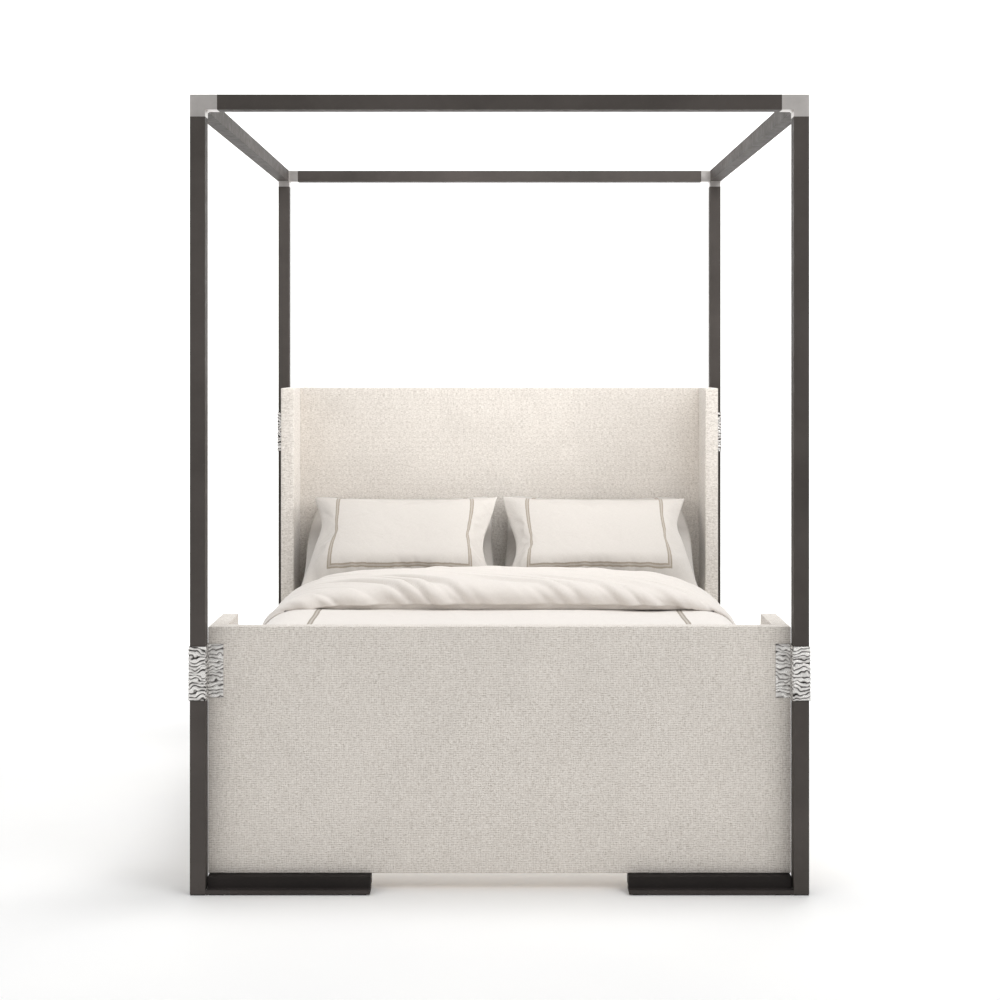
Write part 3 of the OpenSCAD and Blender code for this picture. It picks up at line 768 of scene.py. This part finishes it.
def strap_handle(name, x, y, z):
    """A flat sewn handle on the mattress's side, bowed slightly off it."""
    half, width, thick, bow = 0.10, 0.026, 0.0016, 0.006
    run = np.linspace(-1, 1, 17)
    sign = 1 if x > 0 else -1
    points, faces = [], []
    for t in run:
        out = x + sign * (-0.0035 + bow * (1 - t * t))
        for dz in (-width / 2, width / 2):
            for dx in (0, thick):
                points.append((out + sign * dx, y + half * t, z + dz))
    for i in range(len(run) - 1):
        a, b = 4 * i, 4 * i + 4
        for here, after in ((0, 2), (2, 3), (3, 1), (1, 0)):
            face = (a + here, a + after, b + after, b + here)
            faces.append(face if sign > 0 else face[::-1])
    faces += [(0, 1, 3, 2), tuple(len(points) - 4 + k for k in (0, 2, 3, 1))]
    Shell(points, faces).build(name, "mattress", "ticking", PIPING, smooth=False)


# ---- Duvet

MATTRESS_TOP = ranges("mattress")[1][2]
DUVET_TOP = MATTRESS_TOP + 0.0283
DUVET_FOOT = ranges("duvet")[0][1]
HEM_Z = ranges("duvet")[0][2] + 0.004
# The falls beside the mattress: where they start, their outer x, and the shoulder's radii
FALL_FOOT = -0.770
FALL_X = 0.774
CORNER_X, CORNER_Z = 0.134, 0.090
# Towards the foot, where there are no falls, the duvet ends at this x
NOTCH_X = 0.757
# The least x of the falls' inner face, just clear of the mattress
MATTRESS_SIDE = 0.7628
# Thickness on top, how much thinner the falls are, and how wide the rounded rim is
DUVET_T, THINNER = 0.027, 0.017
RIM = 0.014
BAND_FRONT, BAND_REAR = -0.137, 0.400
# The woven stripe's distance from the middle, its y at the foot, and its width
STRIPE_X, STRIPE_FOOT, STRIPE_W = 0.585, -0.83, 0.018


def smooth_step(value, low, high):
    t = np.clip((value - low) / (high - low), 0, 1)
    return t * t * (3 - 2 * t)


def close_sheet(outer, inner, keep, cut):
    """Joins two layers of points, (rows, columns, 3), into one closed body along the border of
    the kept cells."""
    n, m = outer.shape[:2]
    index = np.arange(n * m).reshape(n, m)
    points = np.vstack([outer.reshape(-1, 3), inner.reshape(-1, 3)])
    shift = n * m
    faces, edges = [], {}
    for i in range(n - 1):
        for j in range(m - 1):
            if keep[i, j]:
                q = (index[i, j], index[i + 1, j], index[i + 1, j + 1], index[i, j + 1])
                faces.append(q)
                faces.append(tuple(k + shift for k in q[::-1]))
                for a, b in zip(q, q[1:] + q[:1]):
                    if (b, a) in edges:
                        del edges[(b, a)]
                    else:
                        edges[(a, b)] = True
    faces += [(b, a, a + shift, b + shift) for a, b in edges]
    used = np.zeros(len(points), bool)
    for f in faces:
        used[list(f)] = True
    renumber = np.cumsum(used) - 1
    both = np.vstack([cut.reshape(-1, 2)] * 2)
    return Shell(points[used], [[renumber[k] for k in f] for f in faces], both[used])


def corner_arc():
    """The duvet's rounded shoulder: its turns, points, and run along the cloth."""
    turn = np.linspace(0, math.pi / 2, 60)
    x = FALL_X - CORNER_X + CORNER_X * np.sin(turn)
    z = DUVET_TOP - CORNER_Z * (1 - np.cos(turn))
    run = FALL_X - CORNER_X + np.concatenate([[0], np.cumsum(np.hypot(np.diff(x), np.diff(z)))])
    return turn, x, z, run


def duvet_section(u):
    """X and Z of the duvet's outer face, u metres from its middle along the cloth, and the
    outward direction."""
    turn, arc_x, arc_z, arc = corner_arc()
    s = np.abs(u)
    at = np.interp(s, arc, turn)
    x = np.where(s < arc[0], s, np.interp(s, arc, arc_x))
    z = np.where(s > arc[-1], DUVET_TOP - CORNER_Z - (s - arc[-1]), np.interp(s, arc, arc_z))
    nx, nz = np.sin(at) / CORNER_X, np.cos(at) / CORNER_Z
    length = np.hypot(nx, nz)
    side = np.sign(u)
    return side * x, z, side * nx / length, nz / length


def merged(*parts):
    return np.unique(np.round(np.concatenate(parts), 5))


def make_duvet():
    _, arc_x, _, arc = corner_arc()
    half = arc[-1] + DUVET_TOP - CORNER_Z - HEM_Z
    notch = np.interp(NOTCH_X, arc_x, arc)
    rows = np.linspace(notch - 0.012, notch, 3)
    us = merged(np.linspace(-half, half, 173), rows, -rows, [-half + 0.004, half - 0.004])
    ys = merged(np.linspace(DUVET_FOOT, BAND_REAR, 122),
                np.linspace(FALL_FOOT, FALL_FOOT + 0.012, 3), [DUVET_FOOT + 0.005])
    u, y = np.meshgrid(us, ys, indexing="ij")
    x, z, nx, nz = duvet_section(u)
    s = np.abs(u)

    # Thickness, rounded off to nothing at the free edges
    to_notch = np.where(s > notch, y - FALL_FOOT, np.where(y < FALL_FOOT, notch - s, 1.0))
    rim = np.minimum(np.minimum(half - s, y - DUVET_FOOT), np.maximum(to_notch, 0))
    lip = np.sqrt(np.clip(1 - (1 - np.clip(rim / RIM, 0, 1)) ** 2, 0, 1))
    thick = DUVET_T - THINNER * smooth_step(s, FALL_X - CORNER_X, FALL_X)

    # Loft on top, and folds that grow down the falls
    cloth = np.stack([u, y, np.zeros_like(u)], axis=-1).reshape(-1, 3)

    def wavy(size, seed):
        return waves(cloth, size, seed).reshape(u.shape)

    on_top = 1 - smooth_step(s, 0.62, 0.74)
    loft = 0.0050 * wavy(0.24, 11) + 0.0024 * wavy(0.10, 12)
    loft += 0.0022 * wavy((0.30, 0.045, 1), 13) * np.exp(-np.abs(y - BAND_FRONT) / 0.10)
    by_band = smooth_step(y, BAND_FRONT - 0.06, BAND_FRONT + 0.02)
    drop = smooth_step(s, 0.82, half) * (1 - 0.8 * by_band)
    folds = wavy((0.9, 0.105, 1), 14) + 0.5 * wavy((0.5, 0.05, 1), 15)
    sway = 0.013 * drop * (np.clip(folds, -0.75, 1.3) + 0.35)
    push = (np.clip(loft, -0.006, 0.008) - 0.003) * on_top + sway

    p = np.stack([x, y, z], axis=-1)
    outward = np.stack([nx, np.zeros_like(nx), nz], axis=-1)
    outer = p + outward * (push - thick * (1 - lip) * 0.5)[..., None]
    inner = p - outward * (thick * (0.5 + 0.5 * lip) - sway * 0.8)[..., None]
    above = np.maximum(inner[..., 2], MATTRESS_TOP + 0.0006)
    inner[..., 2] = np.where(on_top > 0.5, above, inner[..., 2])
    inner_x = np.abs(inner[..., 0])
    clear_x = np.where(s > FALL_X, np.maximum(inner_x, MATTRESS_SIDE), inner_x)
    inner[..., 0] = np.sign(inner[..., 0]) * clear_x
    mid_u = (us[:-1] + us[1:]) / 2
    mid_y = (ys[:-1] + ys[1:]) / 2
    keep = ~((np.abs(mid_u)[:, None] > notch) & (mid_y[None, :] < FALL_FOOT))
    shell = close_sheet(outer, inner, keep, np.stack([u, y], axis=-1))
    obj = shell.build("duvet_body", "duvet", "duvet_cotton", DUVET_CLOTH)
    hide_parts("duvet")


# The turned-back band's half section, (x, z) from the middle to the hem, outside and inside
BAND_OUTLINE = np.array([
    (0.0, 0.741), (0.15, 0.741), (0.30, 0.738), (0.45, 0.729), (0.57, 0.713), (0.66, 0.691),
    (0.725, 0.664), (0.765, 0.631), (0.785, 0.590), (0.792, 0.540), (0.794, 0.480), (0.793, 0.424)])
BAND_INNER = np.array([
    (0.0, 0.664), (0.15, 0.664), (0.30, 0.664), (0.45, 0.664), (0.57, 0.664), (0.645, 0.663),
    (0.700, 0.654), (0.742, 0.630), (0.768, 0.590), (0.7745, 0.540), (0.7765, 0.480),
    (0.7770, 0.424)])


def along_outline(outline, steps):
    """A smooth curve through the outline's points, level where it starts."""
    at = np.linspace(0, 1, len(outline))
    t = np.linspace(0, 1, steps)
    columns = []
    for k in range(2):
        value = outline[:, k]
        slope = np.gradient(value, at)
        if k == 1:
            slope[0] = 0
        i = np.clip(np.searchsorted(at, t, side="right") - 1, 0, len(at) - 2)
        h = at[i + 1] - at[i]
        f = (t - at[i]) / h
        columns.append((2 * f**3 - 3 * f**2 + 1) * value[i] + (f**3 - 2 * f**2 + f) * h * slope[i]
                       + (3 * f**2 - 2 * f**3) * value[i + 1] + (f**3 - f**2) * h * slope[i + 1])
    return np.stack(columns, axis=-1)


BAND_STEPS = 260
# The radius of the fold's rounded front and rear, and the share of it that goes back under
BAND_ROLL = 0.046
UNDERCUT = 0.30
# How far the folds run across for each metre along
SKEW = 1.1


def make_band():
    """The duvet's head end turned back: a thick soft fold whose front rolls under."""
    outer = along_outline(BAND_OUTLINE, BAND_STEPS)
    inner = along_outline(BAND_INNER, BAND_STEPS)
    outer = np.vstack([outer[:0:-1] * (-1, 1), outer])
    inner = np.vstack([inner[:0:-1] * (-1, 1), inner])
    run = np.concatenate([[0], np.cumsum(np.linalg.norm(np.diff(outer, axis=0), axis=1))])
    run -= run[-1] / 2

    # One loop round the fold: y, and the share of the way from the inside to the outside
    bend = np.linspace(-math.pi / 2, math.pi / 2, 23)
    rise = 0.5 + 0.5 * np.sin(bend)
    under = np.where(bend < 0, UNDERCUT, 1.0)
    front_y = BAND_FRONT + BAND_ROLL * under * (1 - np.cos(bend))
    top_y = np.linspace(BAND_FRONT + BAND_ROLL, BAND_REAR - BAND_ROLL, 130)[1:-1]
    rear_y = BAND_REAR - BAND_ROLL + BAND_ROLL * np.cos(bend[::-1])
    base_y = np.linspace(BAND_REAR - BAND_ROLL, BAND_FRONT + BAND_ROLL * UNDERCUT, 30)[1:-1]
    loop_y = np.concatenate([front_y, top_y, rear_y, base_y])
    share = np.concatenate([rise, np.ones_like(top_y), rise[::-1], np.zeros_like(base_y)])
    n, m = len(outer), len(share)
    w = share[None, :, None]
    ring = inner[:, None, :] * (1 - w) + outer[:, None, :] * w
    p = np.empty((n, m, 3))
    p[..., 0], p[..., 1], p[..., 2] = ring[..., 0], loop_y[None, :], ring[..., 1]
    girth = np.concatenate([[0], np.cumsum(np.hypot(np.diff(loop_y), np.diff(share) * 0.086))])
    cloth = np.stack(np.broadcast_arrays(run[:, None], girth[None, :], 0.0), axis=-1)
    cloth = cloth.reshape(-1, 3)
    faces = [(i * m + j, i * m + (j + 1) % m, (i + 1) * m + (j + 1) % m, (i + 1) * m + j)
             for i in range(n - 1) for j in range(m)]
    faces += [tuple(range(m))[::-1], tuple((n - 1) * m + j for j in range(m))]
    shell = Shell(p.reshape(-1, 3), faces, cloth[:, :2])

    # Folds that run slantwise, flatter towards the hems and the head
    x, y = shell.points[:, :2].T
    skew = cloth.copy()
    skew[:, 0] = cloth[:, 0] + SKEW * cloth[:, 1]
    long_fold = waves(skew, (0.10, 0.5, 1), 21)
    ridge = 1.3 - np.sqrt(waves(skew + 3.0, (0.062, 0.4, 1), 22) ** 2 + 0.014) * 2.6
    ridge = np.logaddexp(5 * ridge, -3) / 5
    crease = 1 - np.sqrt(waves(skew, (0.046, 0.24, 1), 23) ** 2 + 0.03) * 2.0
    body = 0.72 + 0.34 * waves(cloth, (0.30, 0.3, 1), 24)
    on_top = 1 - smooth_step(np.abs(x), 0.60, 0.77)
    amount = 0.006 * long_fold + 0.0155 * ridge * body + 0.0030 * crease
    amount *= (0.30 + 0.70 * on_top) * (1 - 0.75 * smooth_step(y, 0.0, 0.18))
    free = np.tile(share > 0.25, n)
    shell.push(np.where(free, amount - 0.015 * on_top, 0))
    low_z = np.where(np.abs(shell.points[:, 0]) < 0.70, DUVET_TOP - 0.0055, 0.0)
    shell.points[:, 2] = np.maximum(shell.points[:, 2], low_z)
    obj = shell.build("duvet_turned_back", "duvet", "duvet_cotton", DUVET_PLAIN)


# ---- Pillows

# Width, height and thickness
BACK_PILLOW = (0.712, 0.500, 0.150)
SHAM = (0.690, 0.500, 0.135)
LEAN = math.radians(40)
CLOTH_STEP = 0.0095
SIM_FRAMES = 20
SIM_PRESSURE = 4.0
# The furthest a point may move, and how much thinner the pouch starts than the pillow
SIM_REACH = 0.026
SIM_GROWTH = 0.020
# How much wider a sham gets at the outer side of its base
BASE_SPREAD = 0.018
# The height over which a pillow's base flattens on the mattress
SETTLE = 0.012


def pouch(width, height, thick):
    """Two domed layers of cloth, sewn together along their edge."""
    xs, ys = (np.linspace(-size / 2, size / 2, max(2, int(round(size / CLOTH_STEP))) + 1)
              for size in (width, height))
    n, m = len(xs), len(ys)
    x, y = np.meshgrid(xs, ys, indexing="ij")
    inside = np.zeros((n, m), bool)
    inside[1:-1, 1:-1] = True
    power = np.where(y < 0, 5.0, 2.6)
    dome = (1 - np.abs(x / (width / 2)) ** 3.2) * (1 - np.abs(y / (height / 2)) ** power)
    z = np.where(inside, thick / 2 * np.clip(dome, 0, 1) ** 0.56, 0)
    front = np.arange(n * m).reshape(n, m)
    back = front.copy()
    back[inside] = n * m + np.arange(inside.sum())
    points = np.vstack([np.stack([x, y, z], -1).reshape(-1, 3),
                        np.stack([x[inside], y[inside], -z[inside]], -1)])
    quads_f = np.stack([front[:-1, :-1], front[1:, :-1], front[1:, 1:], front[:-1, 1:]], -1)
    quads_b = np.stack([back[:-1, :-1], back[:-1, 1:], back[1:, 1:], back[1:, :-1]], -1)
    quads = np.vstack([quads_f.reshape(-1, 4), quads_b.reshape(-1, 4)])
    shell = Shell(points, quads, points[:, :2])
    shell.groups = [0] * (len(quads) // 2) + [1] * (len(quads) // 2)
    return shell


def inflate(shell):
    """Where the pouch's points are once it is blown up as cloth, so that its seams pucker and
    its sides pull in."""
    mesh = bpy.data.meshes.new("inflating")
    mesh.from_pydata(shell.points.tolist(), [], shell.faces)
    obj = bpy.data.objects.new("inflating", mesh)
    scene.collection.objects.link(obj)
    cloth = obj.modifiers.new("cloth", "CLOTH")
    s = cloth.settings
    s.quality = 7
    s.mass = 0.25
    s.tension_stiffness = 18
    s.compression_stiffness = 14
    s.shear_stiffness = 6
    s.bending_stiffness = 0.25
    s.air_damping = 2.0
    s.use_pressure = True
    s.uniform_pressure_force = SIM_PRESSURE
    s.effector_weights.gravity = 0
    cloth.collision_settings.use_collision = False
    for frame_number in range(1, SIM_FRAMES + 1):
        scene.frame_set(frame_number)
    graph = bpy.context.evaluated_depsgraph_get()
    done = obj.evaluated_get(graph).to_mesh()
    out = np.empty(len(mesh.vertices) * 3)
    done.vertices.foreach_get("co", out)
    obj.evaluated_get(graph).to_mesh_clear()
    bpy.data.objects.remove(obj)
    scene.frame_set(1)
    return out.reshape(-1, 3)


def filled(size, seed):
    """A filled pillow lying flat about the origin, blown up, and where its points were on the flat
    cloth, with z -1, 0 or 1 for back, seam or front."""
    width, height, thick = size
    shell = pouch(width, height, thick - SIM_GROWTH)
    flat = shell.points.copy()
    flat[:, 2] = np.sign(flat[:, 2])
    shell.points[:, 2] += 0.0006 * waves(flat, 0.03, seed) + 0.002 * waves(flat, 0.12, seed + 1)
    moved = inflate(shell) - shell.points
    far = np.linalg.norm(moved, axis=1, keepdims=True)
    shell.points += moved * SIM_REACH * np.tanh(far / SIM_REACH) / np.maximum(far, 1e-9)
    p = shell.points
    p -= (p.max(axis=0) + p.min(axis=0)) / 2
    p *= np.array(size) / (p.max(axis=0) - p.min(axis=0)) * np.array([0.995, 0.99, 1.0])
    return shell, flat


def lean_back(points, node):
    """Leans the pillow where its CAD solid leans, settled on to the mattress."""
    x, y, z = points.T
    cos, sin = math.cos(LEAN), math.sin(LEAN)
    low, high = ranges(node)
    turned = np.stack([x, y * cos - z * sin, y * sin + z * cos], -1) + (low + high) / 2
    rest = MATTRESS_TOP + 0.002 + SETTLE
    below = np.clip(rest - turned[:, 2], 0, None)
    turned[:, 2] = np.maximum(turned[:, 2], rest - SETTLE * np.tanh(below / SETTLE))
    return turned


def make_pillow(name, node, size, seed, materials, slump, pulls, flare, tuck=0.0):
    """A pillow that leans back. slump is how much thicker its base is than its top. pulls say
    how far its outer and inner sides draw in, at what height and over what spread of it. flare
    is how much wider it gets evenly towards its top, and at its corners, or only at its top
    ones where less than 0. tuck is how much its lower front turns under."""
    shell, flat = filled(size, seed)
    p = shell.points
    width, height, _ = size
    up, across = flat[:, 1] / height, 2 * flat[:, 0] / width

    evenly, at_corners = flare
    by_corner = np.clip(2 * np.abs(up) - 0.2, 0, 1) ** 2
    if at_corners < 0:
        by_corner = by_corner * (up > 0)
    p[:, 0] *= 1.0 + evenly * up + at_corners * by_corner
    outer, inner = (amount * np.exp(-((up - at) / spread) ** 2) for amount, at, spread in pulls)
    if tuck:
        outer = outer - BASE_SPREAD * smooth_step(-up, 0.05, 0.45)
    inner_side = -1 if node.endswith("right") else 1
    pull = np.where(across * inner_side > 0, inner, outer)
    p[:, 0] -= np.sign(across) * pull * np.abs(across) ** 3

    p[:, 2] *= 1.0 - slump * up
    p[:, 2] += 0.006 * waves(flat, 0.2, seed + 2)
    p[:, 1] -= 0.010 * (1 - across ** 2) * np.clip(up, 0, 1)
    if tuck:
        p[:, 1] += 0.005 * np.clip(2 * up, 0, 1)
        front = np.clip(flat[:, 2], 0, 1)
        belly = np.exp(-((flat[:, 1] + 0.105) / 0.055) ** 2)
        under = smooth_step(-flat[:, 1], 0.105, 0.225)
        p[:, 2] *= 1 + front * (0.10 * belly - tuck * under)
        level = flat * (1, 1, 0)
        gather = waves(level, (0.024, 0.25, 1), seed + 5)
        gather += 0.6 * waves(level, (0.011, 0.12, 1), seed + 6)
        p[:, 2] += front * 0.0045 * gather * smooth_step(-flat[:, 1], 0.115, 0.165)
    else:
        p[:, 1] -= 0.012 * np.clip(2 * up, 0, 1) ** 2

    shell.points = lean_back(p, node)
    obj = shell.build(name, node, "pillow_cotton", *materials)
    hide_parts(node)
    smooth = obj.modifiers.new("finer", "SUBSURF")
    smooth.levels = smooth.render_levels = 1


def border_lines(half_x, low_y, high_y, width):
    """A woven stripe round a rectangle."""
    def lines(f, u, v):
        du = f.math("SUBTRACT", f.math("ABSOLUTE", u), half_x)
        from_mid = f.math("ABSOLUTE", f.math("SUBTRACT", v, (low_y + high_y) / 2))
        dv = f.math("SUBTRACT", from_mid, (high_y - low_y) / 2)
        return f.math("DIVIDE", f.math("ABSOLUTE", f.math("MAXIMUM", du, dv)), width)
    return lines


def duvet_lines(f, u, v):
    """Stripes down both sides of the duvet, joined across its foot."""
    du = f.math("SUBTRACT", f.math("ABSOLUTE", u), STRIPE_X)
    dv = f.math("SUBTRACT", STRIPE_FOOT, v)
    return f.math("DIVIDE", f.math("ABSOLUTE", f.math("MAXIMUM", du, dv)), STRIPE_W)


PIPING = linen("mattress_tape", (190, 184, 174), (214, 209, 200), (228, 223, 215))
PILLOW_LINES = border_lines(0.2475, -0.150, 0.243, 0.0155)
DUVET_CLOTH = percale("duvet_percale", (212, 206, 200), (226, 221, 216), duvet_lines)
DUVET_PLAIN = percale("duvet_percale_plain", (208, 201, 195), (222, 217, 211))
# The shams' percale is the duvet's white percale made darker: painted shade on their forward-facing
# fronts
SHAM_CLOTH_SHADED = [percale("sham_percale_shaded", (184, 178, 172), (199, 194, 188), PILLOW_LINES),
              percale("sham_plain_percale_shaded", (184, 178, 172), (199, 194, 188))]
# The back pillows' percale is the same white percale made darker still: painted shade, as they sit
# behind the shams
BACK_CLOTH_SHADED = [percale("back_percale_shaded", (168, 163, 157), (183, 178, 173), PILLOW_LINES),
              percale("back_plain_percale_shaded", (168, 163, 157), (183, 178, 173))]

make_mattress()
make_duvet()
make_band()
for side in SIDES:
    side_name = SIDE_NAMES[side]
    make_pillow(f"back_pillow_case_{side_name}", f"back_pillow_{side_name}", BACK_PILLOW,
                31 + side, BACK_CLOTH_SHADED, slump=0.20,
                pulls=((-0.014, 0.0, 0.3), (0.004, 0.0, 0.3)), flare=(-0.05, -0.12))
    make_pillow(f"sham_case_{side_name}", f"sham_{side_name}", SHAM,
                51 + side, SHAM_CLOTH_SHADED, slump=0.26,
                pulls=((0.028, 0.20, 0.20), (0.040, -0.03, 0.28)), flare=(0.0, 0.022), tuck=0.85)

# ---- Stage, light and camera

scene.view_settings.view_transform = "Standard"


FLOOR_HALF = 16.0
FLOOR_FRONT, SWEEP_Y, SWEEP_R = -14.0, 8.0, 4.0


def studio_floor():
    """A pale floor that sweeps up into the backdrop."""
    run = [(FLOOR_FRONT, 0.0), (SWEEP_Y, 0.0)]
    run += [(SWEEP_Y + SWEEP_R * math.sin(a), SWEEP_R - SWEEP_R * math.cos(a))
            for a in np.linspace(0.1, math.pi / 2, 12)]
    run += [(SWEEP_Y + SWEEP_R, 14.0)]
    points = [(x, y, z) for y, z in run for x in (-FLOOR_HALF, FLOOR_HALF)]
    faces = [(2 * i, 2 * i + 1, 2 * i + 3, 2 * i + 2) for i in range(len(run) - 1)]
    mesh = bpy.data.meshes.new("studio_floor")
    mesh.from_pydata(points, [], faces)
    mesh.polygons.foreach_set("use_smooth", [True] * len(faces))
    obj = bpy.data.objects.new("studio_floor", mesh)
    scene.collection.objects.link(obj)
    f = Finish("studio_paper")
    paper = f.ramp(f.noise(f.place(), 1.5, 3.0), (0.3, colour(249, 249, 249)),
                   (0.7, colour(252, 252, 251)))
    mesh.materials.append(f.done(paper, 0.9))


def soft_light(name, place, aim, size, power, spread=180):
    """A rectangular light at place, pointed at aim."""
    data = bpy.data.lights.new(name, "AREA")
    data.shape = "RECTANGLE"
    data.size, data.size_y = size
    data.energy = power
    data.spread = math.radians(spread)
    obj = bpy.data.objects.new(name, data)
    scene.collection.objects.link(obj)
    obj.location = place
    obj.visible_camera = False
    obj.rotation_mode = "QUATERNION"
    obj.rotation_quaternion = (Vector(aim) - Vector(place)).to_track_quat("-Z", "Y")


studio_floor()
soft_light("key", (3.4, -4.2, 4.4), (0, 0, 0.7), (3.2, 2.6), 76)
soft_light("fill", (-4.2, -4.0, 2.6), (0, 0, 0.8), (3.0, 3.0), 30)
soft_light("over", (0.6, -0.2, 3.6), (-0.15, 0.85, 0.9), (2.0, 1.4), 60)
soft_light("nook_left", (1.35, 0.15, 1.5), (-0.78, 0.9, 1.05), (0.7, 0.7), 1.6, spread=50)
soft_light("nook_right", (-1.35, 0.15, 1.5), (0.78, 0.9, 1.05), (0.7, 0.7), 0.6, spread=50)
soft_light("under", (0, -0.72, 0.13), (0, -0.72, 0), (1.3, 0.5), 1.3)
soft_light("wall", (0, 4.6, 6.2), (0, 11.5, 1.5), (9.0, 2.0), 900)

world = bpy.data.worlds.new("studio_air")
scene.world = world
world.use_nodes = True
air = world.node_tree.nodes["Background"].inputs
air["Color"].default_value = (1.0, 1.0, 1.0, 1.0)
air["Strength"].default_value = 0.66

camera_data = bpy.data.cameras.new("camera")
camera_data.sensor_width = 36.0
camera_data.lens = 71.446
camera_data.shift_x = 0.0005
camera_data.shift_y = -0.1385
camera_data.clip_end = 60.0
camera = bpy.data.objects.new("camera", camera_data)
scene.collection.objects.link(camera)
camera.location = (0.0, -6.603, 1.4745)
camera.rotation_euler = (math.pi / 2, 0.0, 0.0)
scene.camera = camera
